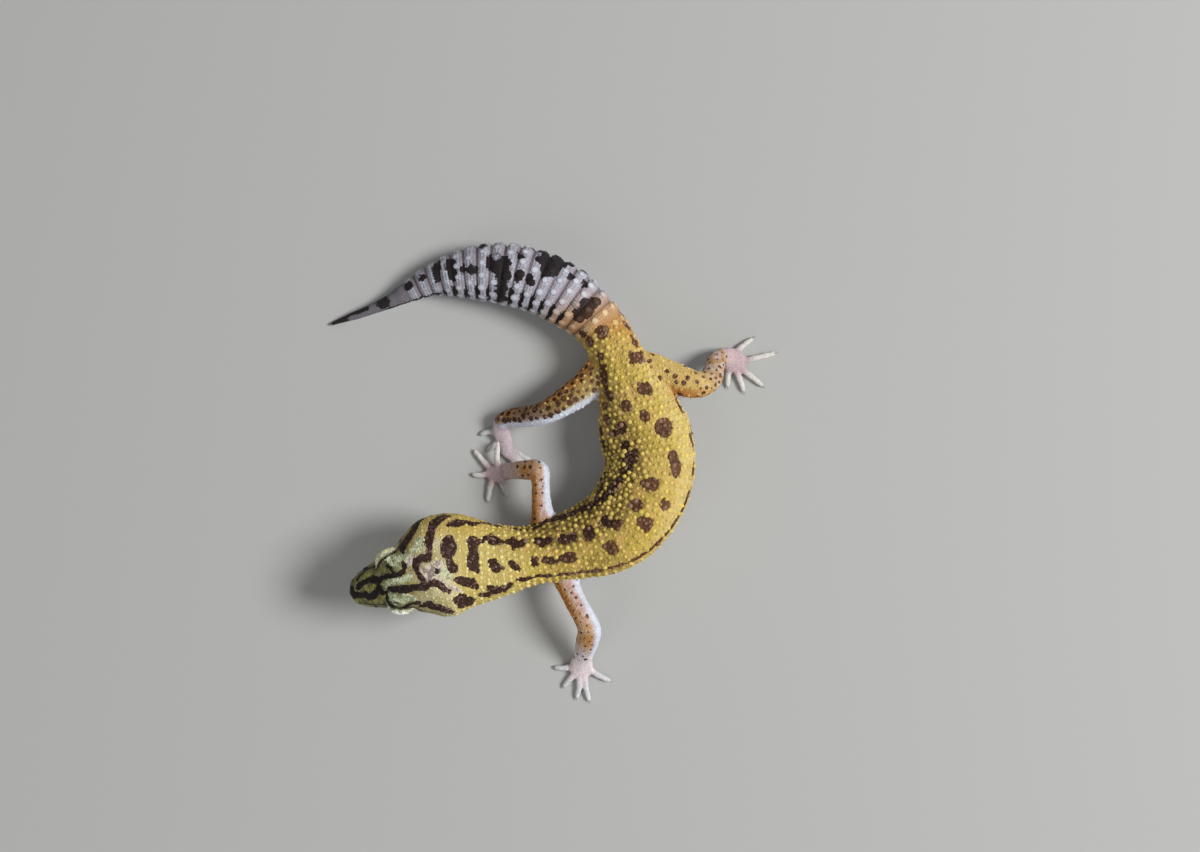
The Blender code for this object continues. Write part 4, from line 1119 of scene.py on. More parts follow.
hide = {
    # trunk; flank is the painted light of the outer side and deep the painted shade of the inner side
    "yellow": (0.62, 0.455, 0.085), "warm": (0.71, 0.51, 0.14), "olive": (0.36, 0.26, 0.05),
    "lemon": (0.76, 0.60, 0.15), "blush": (0.62, 0.38, 0.14), "flank": (0.70, 0.55, 0.22),
    "deep": (0.105, 0.058, 0.012), "belly": (0.74, 0.66, 0.62),
    # head; the palest lid colour is painted light on the left lid
    "straw": (0.62, 0.48, 0.14), "strawDark": (0.40, 0.29, 0.075), "strawTip": (0.82, 0.71, 0.32),
    "crown": (0.44, 0.38, 0.18), "crownPale": (0.66, 0.60, 0.42),
    "headFront": (0.12, 0.115, 0.05), "headSide": (0.23, 0.22, 0.10),
    "moss": (0.17, 0.155, 0.045), "mossPale": (0.29, 0.27, 0.08),
    "mint": (0.30, 0.33, 0.19), "mintPale": (0.60, 0.63, 0.41),
    "lilac": (0.27, 0.20, 0.185), "lilacPale": (0.68, 0.59, 0.51),
    "lid": (0.73, 0.74, 0.47), "lidPaintedLight": (0.96, 0.96, 0.86), "lidDark": (0.46, 0.46, 0.30),
    # tail
    "tail": (0.46, 0.42, 0.475), "tailDark": (0.31, 0.255, 0.295), "tailPale": (0.73, 0.78, 0.90),
    "tailEnd": (0.11, 0.105, 0.115), "wine": (0.075, 0.028, 0.032),
    "rust": (0.47, 0.155, 0.03), "rustTip": (0.80, 0.52, 0.20), "rosy": (0.84, 0.66, 0.48),
    # limbs; shank and the darker thigh colour give the right leg painted shade, partly its own tone
    "leg": (0.52, 0.30, 0.14), "arm": (0.56, 0.30, 0.19), "shank": (0.15, 0.075, 0.028),
    "thigh": (0.25, 0.172, 0.044), "thighPale": (0.74, 0.51, 0.15), "pale": (0.68, 0.71, 0.81),
    "palm": (0.58, 0.43, 0.445), "palmPale": (0.86, 0.68, 0.64), "toe": (0.74, 0.71, 0.67),
    # dark marks, with a painted highlight colour for tubercle tips in them and a paler speck colour that is
    # partly painted highlight
    "brown": (0.15, 0.062, 0.022), "umber": (0.085, 0.034, 0.014), "bark": (0.030, 0.010, 0.005),
    "plum": (0.115, 0.068, 0.066), "black": (0.006, 0.005, 0.004), "tailInk": (0.022, 0.016, 0.017),
    "highlightTone": (0.26, 0.15, 0.08), "speckAndHighlight": (0.29, 0.18, 0.135),
    "roughness": 0.5, "grain": 0.35, "grainDepth": 0.00006, "gloss": 0.22,
    "glow": 0.05, "glowReach": (0.0012, 0.0006, 0.0004),      # light that passes under the surface
}


# Skin and scales share this: the markings come from attributes that scales take over from the skin
def makeHide(name, grainBump, tipShine=1.0):
    material, nodes, shader = newMaterial(name)
    get, ramp, blend, cloud = nodes.attribute, nodes.ramp, nodes.blend, nodes.cloud
    place = nodes.add("ShaderNodeTexCoord", output="Object")
    wide = ramp(cloud(place, 6.0), 0.35, 0.65)
    small = ramp(cloud(place, 1.3), 0.35, 0.65)
    tip = get("tip") * tipShine
    olive, tail, belly, paintedShadingAndTone, rust, vary, along = (
        get(attribute) for attribute in ("olive", "tail", "belly", "paintedShadingAndTone", "rust", "vary", "along"))
    mottle = vary + small
    paintedShade, paintedLight = ramp(paintedShadingAndTone, 0.0, 1.0), ramp(paintedShadingAndTone, 0.0, -1.0)
    # trunk, with painted shade inside the bend and painted light on the outer side
    colour = blend(wide, hide["yellow"], hide["warm"])
    colour = blend(0.55 * small, colour, hide["olive"])
    colour = blend(paintedShade * (0.6 + 0.4 * small), colour, hide["deep"])
    colour = blend(paintedLight * (1.0 - 0.4 * small), colour, hide["flank"])
    colour = blend(0.55 * ramp(cloud(place, 2.2) + 0.15 * vary, 0.56, 0.72), colour, hide["blush"])
    colour = blend(ramp(tip, 0.15, 0.8) * (0.5 + 0.4 * vary), colour, hide["lemon"])
    # head
    straw = blend(0.6 * small, hide["straw"], hide["strawDark"])
    straw = blend(ramp(along, 28.0, 20.0), straw, blend(wide, hide["crown"], hide["crownPale"]))
    straw = blend(ramp(tip, 0.1, 0.6), straw, hide["strawTip"])
    colour = blend(get("straw"), colour, straw)
    colour = blend(olive, colour, blend(small, hide["headFront"], hide["headSide"]))
    # tail and its root
    glow = nodes.maths("MAXIMUM", ramp(tip, 0.25, 0.95), get("glow"))
    tailColour = blend(0.7 * small, hide["tail"], hide["tailDark"])
    tailColour = blend(0.8 * get("tailEnd"), tailColour, hide["tailEnd"])
    tailColour = blend(0.85 * glow * (1.0 - 0.5 * get("tailEnd")), tailColour, hide["tailPale"])
    colour = blend(tail, colour, tailColour)
    colour = blend(rust * (0.8 + 0.2 * wide), colour, blend(tip * 0.8, hide["rust"], hide["rustTip"]))
    colour = blend((0.2 + 0.4 * glow) * (ramp(along, 109.0, 114.0) * rust), colour, hide["rosy"])
    # limbs, the right leg darkened by painted shade that is partly its own tone, and the pale underside, on
    # the arms partly painted light
    leg = blend(ramp(paintedShadingAndTone, -0.9, -0.1), hide["leg"], hide["arm"])
    leg = blend(0.4 * small, leg, hide["pale"])
    leg = blend(0.8 * paintedShade, leg, hide["shank"])
    thigh = blend(ramp(paintedShadingAndTone, -1.0, 0.8), hide["thighPale"], hide["thigh"])
    thigh = blend(ramp(tip, 0.15, 0.6), thigh, hide["lemon"])
    leg = blend(get("thigh") * 0.85, leg, thigh)
    limb = get("limb")
    colour = blend(limb * (1.0 - rust), colour, leg)
    colour = blend(belly, colour, blend(tail, blend(limb, hide["belly"], hide["pale"]), hide["tailPale"]))
    palm = blend(ramp(belly, 0.65, 0.85), hide["palm"], hide["palmPale"])
    colour = blend(get("hand"), colour, blend(ramp(get("toeTip"), 0.05, 0.5), palm, hide["toe"]))
    # pale patches on the head, and the lids, the left one paler with painted light
    colour = blend(0.9 * ramp(get("lilac"), -0.5, 0.4), colour,
                   blend(ramp(mottle, 0.4, 1.4), hide["lilac"], hide["lilacPale"]))
    colour = blend(ramp(get("moss"), -0.3, 0.3), colour, blend(small, hide["moss"], hide["mossPale"]))
    colour = blend(ramp(get("mint"), -0.35, 0.35), colour,
                   blend(ramp(mottle, 0.4, 1.3), hide["mint"], hide["mintPale"]))
    lid = blend(paintedLight, hide["lid"], hide["lidPaintedLight"])
    colour = blend(get("lidRim"), colour, blend(ramp(mottle, 0.3, 1.5), hide["lidDark"], lid))
    # a wine-red line in the tail's grooves, widened into painted shade
    crease = get("crease")
    colour = blend(0.8 * crease * tail, colour, hide["wine"])
    # dark marks: brown on the back, nearly black on the head, black on the tail; inside the bend painted
    # shade makes them nearly black
    cold = nodes.maths("MAXIMUM", tail, 0.9 * olive)
    onHead = ramp(along, 62.0, 36.0)
    inner = ramp(paintedShadingAndTone, 0.35, 1.0)
    ink = blend(small, hide["brown"], hide["umber"])
    ink = blend(0.9 * onHead, ink, hide["bark"])
    # painted shade inside the bend
    ink = blend(0.9 * inner, ink, hide["bark"])
    # plum blotches on the head and paler specks on random scales in the marks: their own colour, partly
    # painted highlight
    blotch = ramp(cloud(place, 0.9) + 0.3 * vary, 0.62, 0.85)
    ink = blend(0.8 * blotch * ramp(along, 30.0, 20.0), ink, hide["plum"])
    speckAndHighlight = ramp(vary, 0.72, 0.95) * ramp(along, 118.0, 112.0)
    ink = blend(0.75 * speckAndHighlight * (1.0 - olive), ink, hide["speckAndHighlight"])
    ink = blend(cold, ink, blend(tail, hide["black"], hide["tailInk"]))
    # painted highlight on the tips of the tubercles in the marks, less on the head and inside the bend
    tipHighlight = ramp(tip, 0.3, 0.9) * (1.0 - cold) * (0.8 - 0.6 * onHead) * (1.0 - 0.8 * inner)
    ink = blend(tipHighlight, ink, hide["highlightTone"])
    colour = blend(ramp(get("dark") + 0.25 * (cloud(place, 0.5) - 0.5), -0.09, 0.11), colour, ink)
    # painted shade round the lids
    colour = blend(0.9 * get("lidShadeLine"), colour, hide["black"])
    # painted shade in the mouth's seam
    colour = blend(0.85 * crease * (1.0 - tail), colour, hide["bark"])
    shade = 0.95 + (0.34 - 0.2 * tail + 0.26 * olive) * (vary - 0.5) + 0.1 * small
    grey = nodes.add("ShaderNodeCombineColor", None, {0: shade, 1: shade, 2: shade})
    colour = blend(1.0, colour, grey, "MULTIPLY")
    grain = nodes.add("ShaderNodeTexVoronoi", None, {"Vector": place, "Scale": 1.0 / (hide["grain"] * mm)})
    connect(nodes, shader, Base_Color=colour, Roughness=hide["roughness"] + 0.16 * small - 0.1 * tip,
            Normal=nodes.bumps(grain, grainBump, hide["grainDepth"]))
    shader.inputs["Specular IOR Level"].default_value = hide["gloss"]
    shader.inputs["Subsurface Weight"].default_value = hide["glow"]
    shader.inputs["Subsurface Radius"].default_value = hide["glowReach"]
    shader.inputs["Subsurface Scale"].default_value = 1.0
    return material


# A Geometry Nodes tree with the given inputs besides its geometry
def newTree(name, inputs):
    tree = bpy.data.node_groups.new(name, "GeometryNodeTree")
    tree.interface.new_socket("Geometry", in_out="OUTPUT", socket_type="NodeSocketGeometry")
    for label, kind in (("Geometry", "Geometry"), *inputs):
        tree.interface.new_socket(label, in_out="INPUT", socket_type="NodeSocket" + kind)
    nodes = Nodes(tree)
    given = nodes.add("NodeGroupInput")
    return tree, nodes, {socket.name: Value(nodes, socket) for socket in given.socket.node.outputs}


def finishTree(nodes, solid, finish):
    solid = nodes.add("GeometryNodeSetShadeSmooth", None, {0: solid})
    solid = nodes.add("GeometryNodeSetMaterial", None, {"Geometry": solid, "Material": finish})
    result = nodes.tree.nodes.new("NodeGroupOutput")
    nodes.tree.links.new(solid.socket, result.inputs[0])


def namedAttribute(nodes, name, kind="FLOAT"):
    return nodes.add("GeometryNodeInputNamedAttribute", {"data_type": kind}, {"Name": name})


def storeAttribute(nodes, geometry, name, value, kind="FLOAT", domain="POINT"):
    return nodes.add("GeometryNodeStoreNamedAttribute", {"data_type": kind, "domain": domain},
                     {"Geometry": geometry, "Name": name, "Value": value})


# One scale of unit size: a dome cut from a ball, leaning back, its point sharper as "sharp" grows
def scaleShape(nodes, sides, rings, sharp, lean, shine):
    ball = nodes.add("GeometryNodeMeshUVSphere", None, {"Segments": sides, "Rings": rings, "Radius": 1.0})
    x = nodes.add("ShaderNodeSeparateXYZ", None, {0: nodes.add("GeometryNodeInputPosition")})
    y, z = x.output("Y"), x.output("Z")
    low = nodes.add("FunctionNodeCompare", {"operation": "LESS_THAN"}, {0: z, 1: -0.1})
    dome = nodes.add("GeometryNodeDeleteGeometry", {"domain": "POINT"}, {"Geometry": ball, "Selection": low})
    high = nodes.maths("MAXIMUM", z, 0.0) ** sharp
    dome = storeAttribute(nodes, dome, "local", nodes.vector(X=x, Y=y), "FLOAT_VECTOR")
    dome = storeAttribute(nodes, dome, "tip", high * shine)
    place = nodes.vector(X=x + high * lean, Y=y, Z=high - 0.25)
    return nodes.add("GeometryNodeSetPosition", None, {"Geometry": dome, "Position": place})


scaleSockets = (("Size", "Float"), ("Height", "Float"), ("Lean", "Float"), ("Shine", "Float"),
                ("Uneven", "Float"), ("Spacing", "Float"), ("Where", "String"), ("Seed", "Int"),
                ("Finish", "Material"))
bakePatch = 0.0015      # half the side of a scale's own patch on the map


# Plants scales on points, or first spreads points over the zone of the skin that "Where" names
def scaleTree(name, spread, sides, rings, sharp):
    tree, nodes, given = newTree(name, scaleSockets)
    points, seed, grow = given["Geometry"], given["Seed"], namedAttribute(nodes, "grow")
    if spread:
        grows = nodes.add("FunctionNodeCompare", {"operation": "GREATER_THAN"},
                          {0: namedAttribute(nodes, given["Where"]), 1: 0.6})
        spacing = given["Spacing"]
        scatter = nodes.add("GeometryNodeDistributePointsOnFaces", {"distribute_method": "POISSON"},
                            {"Mesh": points, "Selection": grows, "Distance Min": spacing,
                             "Density Max": 3.0 / (spacing * spacing), "Seed": seed}, "Points")
        points = storeAttribute(nodes, scatter, "out", scatter.output("Normal"), "FLOAT_VECTOR")
    spin = nodes.add("FunctionNodeAxesToRotation", {"primary_axis": "Z", "secondary_axis": "X"},
                     {"Primary Axis": namedAttribute(nodes, "out", "FLOAT_VECTOR"),
                      "Secondary Axis": namedAttribute(nodes, "back", "FLOAT_VECTOR")})
    chance, tone = (nodes.add("FunctionNodeRandomValue", {"data_type": "FLOAT"}, {2: 0.0, 3: 1.0, 8: draw}, 1)
                    for draw in (seed, seed + 7))
    size = given["Size"] * grow * (1.0 + given["Uneven"] * (chance - 0.5))
    scale = nodes.vector(X=size * namedAttribute(nodes, "stretch"), Y=size, Z=given["Height"] * grow)
    shape = scaleShape(nodes, sides, rings, sharp, given["Lean"], given["Shine"])
    planted = nodes.add("GeometryNodeInstanceOnPoints", None,
                        {"Points": points, "Instance": shape, "Rotation": spin, "Scale": scale})
    planted = storeAttribute(nodes, planted, "vary", tone, domain="INSTANCE")
    solid = nodes.add("GeometryNodeRealizeInstances", None, {"Geometry": planted})
    patch = nodes.add("ShaderNodeVectorMath", {"operation": "MULTIPLY_ADD"},
                      {0: namedAttribute(nodes, "local", "FLOAT_VECTOR"), 1: (bakePatch, bakePatch, 0.0),
                       2: namedAttribute(nodes, "unwrap", "FLOAT_VECTOR")})
    finishTree(nodes, storeAttribute(nodes, solid, "OFBake", patch, "FLOAT2", "CORNER"), given["Finish"])
    return tree


helperNames = ("local", "unwrap", "out", "back", "grow", "stretch", "down", "turn", "toe", "limbNumber",
               "isLimb", "girth", "around", "toeShare", "lid", "lidTurn", "onSnout", "onHead", "onBack",
               "onBelly", "onLimbs", "onFeet", "onSoles")


def dropHelpers(mesh):
    for name in helperNames:
        if name in mesh.attributes:
            mesh.attributes.remove(mesh.attributes[name])


# Runs a tree on an object and makes the result a plain mesh
def runTree(thing, tree, settings):
    modifier = thing.modifiers.new("tree", "NODES")
    modifier.node_group = tree
    for socket in tree.interface.items_tree:
        if socket.in_out == "INPUT" and socket.name in settings:
            modifier[socket.identifier] = settings[socket.name]
    applyModifiers(thing)
    dropHelpers(thing.data)


def plant(name, source, tree, **settings):
    thing = bpy.data.objects.new(name, source.data.copy())
    bpy.context.scene.collection.objects.link(thing)
    runTree(thing, tree, settings)
    thing.data.uv_layers.active = thing.data.uv_layers["OFBake"]
    print("planted", name, len(thing.data.polygons), "faces")
    return thing


sharedNames = ("along", "dark", "mint", "lilac", "moss", "belly", "olive", "straw", "paintedShadingAndTone", "tail", "tailEnd",
               "glow", "rust", "limb", "thigh", "hand", "toeTip", "lidRim", "lidShadeLine", "crease")


class Surface:
    def __init__(self, skin):
        self.mesh = skin.data
        self.points, self.normals = meshArrays(self.mesh)
        self.bvh = BVHTree.FromObject(skin, bpy.context.evaluated_depsgraph_get())
        self.tree = pointTree(self.points)
        self.values = {name: getAttribute(self.mesh, name) for name in (*sharedNames, "isLimb", "around")}
        self.vectors = {}
        for name in ("back", "unwrap"):
            values = np.empty(len(self.points) * 3, dtype=np.float32)
            self.mesh.attributes[name].data.foreach_get("vector", values)
            self.vectors[name] = values.reshape(-1, 3)

    # Points on the skin nearest the given ones, with the skin's own row there
    def snap(self, points):
        places, rows = [], []
        for point in points:
            hit = self.bvh.find_nearest(point)[0]
            places.append(hit)
            rows.append(self.tree.find(hit)[1])
        return np.array(places), np.array(rows)

    # Vertices for scales to stand on, each with the markings of the skin under it
    def pointMesh(self, name, places, rows, grow, stretch=None, out=None, back=None):
        thing = meshObject(name, places, [])
        mesh = thing.data
        for shared in sharedNames:
            setAttribute(mesh, shared, self.values[shared][rows])
        setAttribute(mesh, "out", self.normals[rows] if out is None else out, "FLOAT_VECTOR")
        setAttribute(mesh, "back", self.vectors["back"][rows] if back is None else back, "FLOAT_VECTOR")
        setAttribute(mesh, "unwrap", self.vectors["unwrap"][rows], "FLOAT_VECTOR")
        setAttribute(mesh, "grow", grow)
        setAttribute(mesh, "stretch", np.ones(len(places)) if stretch is None else stretch)
        return thing


tubercles = {"seed": 5, "start": 17.0, "end": 110.5, "rowStep": 1.5, "sideStep": 1.45, "reach": 0.54,
             "jitter": 0.24, "uneven": (0.74, 1.2), "size": 0.0006, "height": 0.0006}


# Staggered rows of tubercles over the back, smaller towards the head, the flanks and the middle of the hips
def backPoints(surface):
    rng = np.random.default_rng(tubercles["seed"])
    rowsAlong = np.arange(tubercles["start"], tubercles["end"], tubercles["rowStep"])
    sides = 192
    rings, girths = bodyRings(rowsAlong, sides)
    turns = np.arange(sides)
    shares = np.minimum(turns, sides - turns) / (sides / 2)
    jitter = tubercles["jitter"]
    wanted, sizes = [], []
    for i, (along, ring, girth) in enumerate(zip(rowsAlong, rings, girths)):
        order = np.argsort(girth)
        step = tubercles["sideStep"] * (0.72 + 0.28 * float(fade(24.0, 44.0, along)))
        for j in range(-14, 15):
            g = (j + 0.5 * (i % 2)) * step + rng.uniform(-0.2, 0.2)
            if not girth.min() < g < girth.max():
                continue
            share = float(np.interp(g, girth[order], shares[order]))
            if share > tubercles["reach"] + rng.uniform(-0.04, 0.04) or (along < 20.0 and share > 0.3):
                continue
            place = np.array([np.interp(g, girth[order], ring[order, k]) for k in range(3)])
            wanted.append((place + rng.uniform(-jitter, jitter, 3)) * mm)
            size = 0.55 + 0.45 * float(fade(22.0, 44.0, along))
            size *= 1.0 - 0.4 * float(fade(0.36, 0.56, share))
            size *= rng.uniform(*tubercles["uneven"])
            sizes.append(size * (1.0 - 0.35 * float(bump(g, 0.0, 0.8)) * float(fade(85.0, 95.0, along))))
    places, rows = surface.snap(wanted)
    keep = surface.values["isLimb"][rows] < 0.5
    return surface.pointMesh("backPoints", places[keep], rows[keep], np.array(sizes)[keep])


tailScales = {"seed": 8, "rings": 17, "apart": 2.9, "bead": 0.001, "beadHeight": 0.00028, "beadPlace": 0.55,
              "beadReach": 0.72, "glow": 1.15, "rows": (0.2, 0.4, 0.6, 0.8), "plate": 0.00038,
              "plateHeight": 0.00007, "plateStep": 0.66, "endStep": 0.62}


# Places evenly round the body at each distance along it, as far down the sides as the limit says
def ringPoints(surface, alongs, apart, offsets, limit, shrink):
    wanted, sizes = [], []
    rings, _ = bodyRings(np.array(alongs), 96)
    for i, ring in enumerate(rings):
        loop = np.vstack((ring, ring[:1]))
        lengths = arcLengths(loop)
        size = min(1.0, lengths[-1] / 36.0) if shrink else 1.0
        count = max(5, round(lengths[-1] / (apart * size)))
        for k in range(count):
            at = ((k + 0.5 * (i % 2) + offsets[i]) % count) / count * lengths[-1]
            share = 2.0 * min(at, lengths[-1] - at) / lengths[-1]
            if share < limit:
                wanted.append(np.array([np.interp(at, lengths, loop[:, m]) for m in range(3)]) * mm)
                sizes.append(size)
    places, rows = surface.snap(wanted)
    return places, rows, np.array(sizes)


def ringPlace(number):
    return tailRings["start"] + tailRings["length"] * number


def tailBeads(surface):
    rng = np.random.default_rng(tailScales["seed"])
    alongs = [ringPlace(k + tailScales["beadPlace"]) for k in range(-1, tailScales["rings"])]
    places, rows, sizes = ringPoints(surface, alongs, tailScales["apart"], rng.uniform(0.0, 0.4, len(alongs)),
                                     tailScales["beadReach"], True)
    return surface.pointMesh("tailBeads", places, rows, sizes * rng.uniform(0.8, 1.15, len(sizes)))


# The paler colour of a ring round each bead
def spreadGlow(surface, beads):
    tree = pointTree(meshArrays(beads.data)[0])
    away = np.array([tree.find(point)[2] for point in surface.points]) / mm
    glow = bump(away, 0.0, tailScales["glow"]) * surface.values["tail"]
    surface.values["glow"] = glow
    setAttribute(surface.mesh, "glow", glow)


def tailPlates(surface):
    alongs = [ringPlace(k + share) for k in range(tailScales["rings"]) for share in tailScales["rows"]]
    alongs += list(np.arange(alongs[-1] + 0.7, body["length"] - 0.3, tailScales["endStep"]))
    rng = np.random.default_rng(tailScales["seed"] + 1)
    places, rows, sizes = ringPoints(surface, alongs, tailScales["plateStep"],
                                     rng.uniform(0.0, 0.5, len(alongs)), 2.0, False)
    alongs = surface.values["along"][rows]
    sizes *= (0.72 + 0.28 * fade(178.0, 150.0, alongs)) * (0.8 + 0.2 * fade(0.5, 0.95, tailGroove(alongs)))
    # they lie square to the tail, not to the sides of its grooves
    out, back = surface.normals[rows], surface.vectors["back"][rows]
    out = unit(out - 0.8 * (out * back).sum(axis=1, keepdims=True) * back)
    return surface.pointMesh("tailPlates", places, rows, sizes, out=out)


legScales = {"seed": 21, "start": 3.5, "armEnd": 16.0, "legEnd": 23.0, "apart": 1.4, "size": 0.00044,
             "height": 0.00034}


def legPoints(surface):
    rng = np.random.default_rng(legScales["seed"])
    down = getAttribute(surface.mesh, "down")
    number = getAttribute(surface.mesh, "limbNumber")
    limit = np.where(number > 1.5, legScales["legEnd"], legScales["armEnd"])
    rows = np.flatnonzero((surface.values["isLimb"] > 0.5) & (surface.normals[:, 2] > 0.0)
                          & (down > legScales["start"]) & (down < limit) & (surface.values["hand"] < 0.5))
    rng.shuffle(rows)
    kept = []
    apart = legScales["apart"] * mm
    for row in rows:
        place = surface.points[row]
        if all(np.linalg.norm(place - surface.points[other]) > apart for other in kept[-400:]):
            kept.append(row)
    kept = np.array(kept)
    size = np.where(number[kept] > 1.5, 1.0, 0.62) * rng.uniform(0.75, 1.15, len(kept))
    size *= 1.0 - 0.4 * fade(12.0, 22.0, down[kept])
    return surface.pointMesh("legPoints", surface.points[kept], kept, size)


lidScales = {"count": 34, "size": 0.00023, "height": 0.00017, "back": 0.17, "sink": 0.04}


# A fringe of small scales along the edge of each lid
def lidPoints(surface):
    places, outs, backs = [], [], []
    for side in (1.0, -1.0):
        middle, gaze, over, front = eyeFrame(side)
        for k in range(lidScales["count"]):
            turn = 2.0 * math.pi * k / lidScales["count"]
            angle = math.radians(lidOpening(turn)) + lidScales["back"] / eye["radius"]
            radial = front * math.cos(turn) + over * math.sin(turn)
            direction = gaze * math.cos(angle) + radial * math.sin(angle)
            places.append((middle + direction * (float(lidRim(turn)) - lidScales["sink"])) * mm)
            outs.append(direction)
            backs.append(radial)
    rows = np.array([surface.tree.find(place)[1] for place in places])
    return surface.pointMesh("lidPoints", np.array(places), rows, np.ones(len(places)), out=np.array(outs),
                             back=np.array(backs))


# how many plates along each upper and lower lip, and z and size of the one at the snout's and the chin's tip
lipScales = {"upper": 11, "lower": 9, "start": 1.5, "end": 17.4, "over": 0.72, "under": 0.6,
             "front": ((15.3, 2.1), (13.75, 1.9)), "size": 0.00035, "height": 0.00022, "sink": 0.07}


# Plates along both lips, and the larger ones at the tip of the snout and chin
def lipPoints(surface):
    def at(along, side, up):
        return onBody(np.array([along]), np.array([side]), up)[0]

    wanted, stretch, grow, outs = [], [], [], []
    lips = (lipScales["upper"], lipScales["over"]), (lipScales["lower"], -lipScales["under"])
    for side in (1.0, -1.0):
        for count, lift in lips:
            step = (lipScales["end"] - lipScales["start"]) / (count - 1)
            for k in range(count):
                along = lipScales["start"] + k * step
                up = float(mouthHeight(along)) + lift
                outer, inner = at(along, side * 20.0, up), at(along, 0.0, up)
                hit, normal = surface.bvh.ray_cast(Vector(outer * mm), Vector(inner - outer).normalized())[:2]
                if hit is None:
                    continue
                wanted.append(np.array(hit))
                outs.append(unit(np.array(normal) * (1.0, 1.0, 0.3) + (0.0, 0.0, 0.25 * lift)))
                stretch.append(step / 2.1 / (lipScales["size"] * 1000.0))
                grow.append(1.0 - 0.012 * along)
    for up, wide in lipScales["front"]:
        front = at(0.0, 0.0, up) - at(1.0, 0.0, up)
        wanted.append((at(0.0, 0.0, up) + 2.0 * front) * mm)
        outs.append(unit(front + (0.0, 0.0, 0.25 * np.sign(up - 14.4))))
        stretch.append(0.6)
        grow.append(wide)
    places, rows = surface.snap(wanted)
    places = places - np.array(outs) * lipScales["sink"] * mm
    return surface.pointMesh("lipPoints", places, rows, np.array(grow), np.array(stretch), np.array(outs))


eyeball = {"rings": 72, "segments": 96, "cornea": 0.1, "corneaReach": 0.75,
           "silver": (0.20, 0.185, 0.14), "gold": (0.26, 0.17, 0.06), "vein": (0.022, 0.015, 0.010),
           "rim": (0.03, 0.022, 0.016), "pupil": (0.003, 0.003, 0.003),
           "slitWide": 0.085, "slitTall": 0.6, "scallops": 22.0, "net": 8.0, "wander": 0.35,
           "Roughness": 0.3, "Coat Weight": 1.0, "Coat Roughness": 0.03}


def makeIris():
    material, nodes, shader = newMaterial("veined iris")
    ramp, blend = nodes.ramp, nodes.blend
    x, y = nodes.attribute("lookX"), nodes.attribute("lookY")
    # a net of dark veins that wanders over the silver and gold
    push = nodes.noise(nodes.vector(X=x, Y=y), 5.0)
    place = nodes.vector(X=x * 0.8 + eyeball["wander"] * push, Y=y * 1.2 - eyeball["wander"] * push)
    net = nodes.add("ShaderNodeTexVoronoi", {"feature": "DISTANCE_TO_EDGE"},
                    {"Vector": place, "Scale": eyeball["net"]})
    fine = nodes.noise(place, 22.0, 3.0)
    colour = blend(ramp(nodes.noise(place, 3.2), 0.42, 0.6), eyeball["silver"], eyeball["gold"])
    colour = blend(0.6 * ramp(fine, 0.42, 0.68), colour, eyeball["vein"])
    colour = blend(0.85 * ramp(net + 0.12 * fine, 0.13, 0.04), colour, eyeball["vein"])
    colour = blend(ramp(nodes.maths("SQRT", x * x + y * y), 0.6, 0.84), colour, eyeball["rim"])
    # an upright slit with scalloped edges
    height = nodes.maths("ABSOLUTE", y) / eyeball["slitTall"]
    scallop = nodes.maths("COSINE", y * eyeball["scallops"])
    width = eyeball["slitWide"] * (1.0 - height * height) * (1.0 + 0.28 * scallop)
    away = nodes.maths("ABSOLUTE", x) - width
    colour = blend(ramp(away, 0.035, 0.012), colour, eyeball["gold"])
    colour = blend(ramp(away, 0.008, -0.008), colour, eyeball["pupil"])
    connect(nodes, shader, Base_Color=colour, Normal=nodes.bumps(net, 0.12, 0.00005))
    for name in ("Roughness", "Coat Weight", "Coat Roughness"):
        shader.inputs[name].default_value = eyeball[name]
    return material


def buildEyeball(name, side, material):
    middle, gaze, over, front = eyeFrame(side)
    turnTo = np.stack([front, over, gaze], axis=0)
    shape = bmesh.new()
    bmesh.ops.create_uvsphere(shape, u_segments=eyeball["segments"], v_segments=eyeball["rings"], radius=1.0)
    local = np.array([vertex.co[:] for vertex in shape.verts])
    lift = eye["radius"] + eyeball["cornea"] * bump(1.0 - local[:, 2], 0.0, eyeball["corneaReach"] ** 2)
    for vertex, place in zip(shape.verts, (middle + (local * lift[:, None]) @ turnTo) * mm):
        vertex.co = place
    thing = meshObject(name, [], [])
    shape.to_mesh(thing.data)
    shape.free()
    setAttribute(thing.data, "lookX", local[:, 0])
    setAttribute(thing.data, "lookY", local[:, 1])
    recalculate(thing.data)
    finishPiece(thing, material)
    return thing


eardrum = {"long": 0.72, "tall": 1.16, "reach": 1.25, "rings": 10, "segments": 40, "lift": 0.3, "dish": 0.14,
           "thick": 0.0001, "middle": (0.30, 0.17, 0.13), "edge": (0.10, 0.05, 0.035)}


def makeMembrane():
    material, nodes, shader = newMaterial("thin ear membrane")
    place = nodes.add("ShaderNodeTexCoord", output="Object")
    reach = nodes.attribute("reach")
    darker = nodes.ramp(reach + 0.3 * (nodes.cloud(place, 0.4) - 0.5), 0.2, 0.95)
    connect(nodes, shader, Base_Color=nodes.blend(darker, eardrum["middle"], eardrum["edge"]),
            Roughness=0.28 + 0.25 * reach, Normal=nodes.bumps(nodes.cloud(place, 0.15), 0.3, 0.00003))
    return material


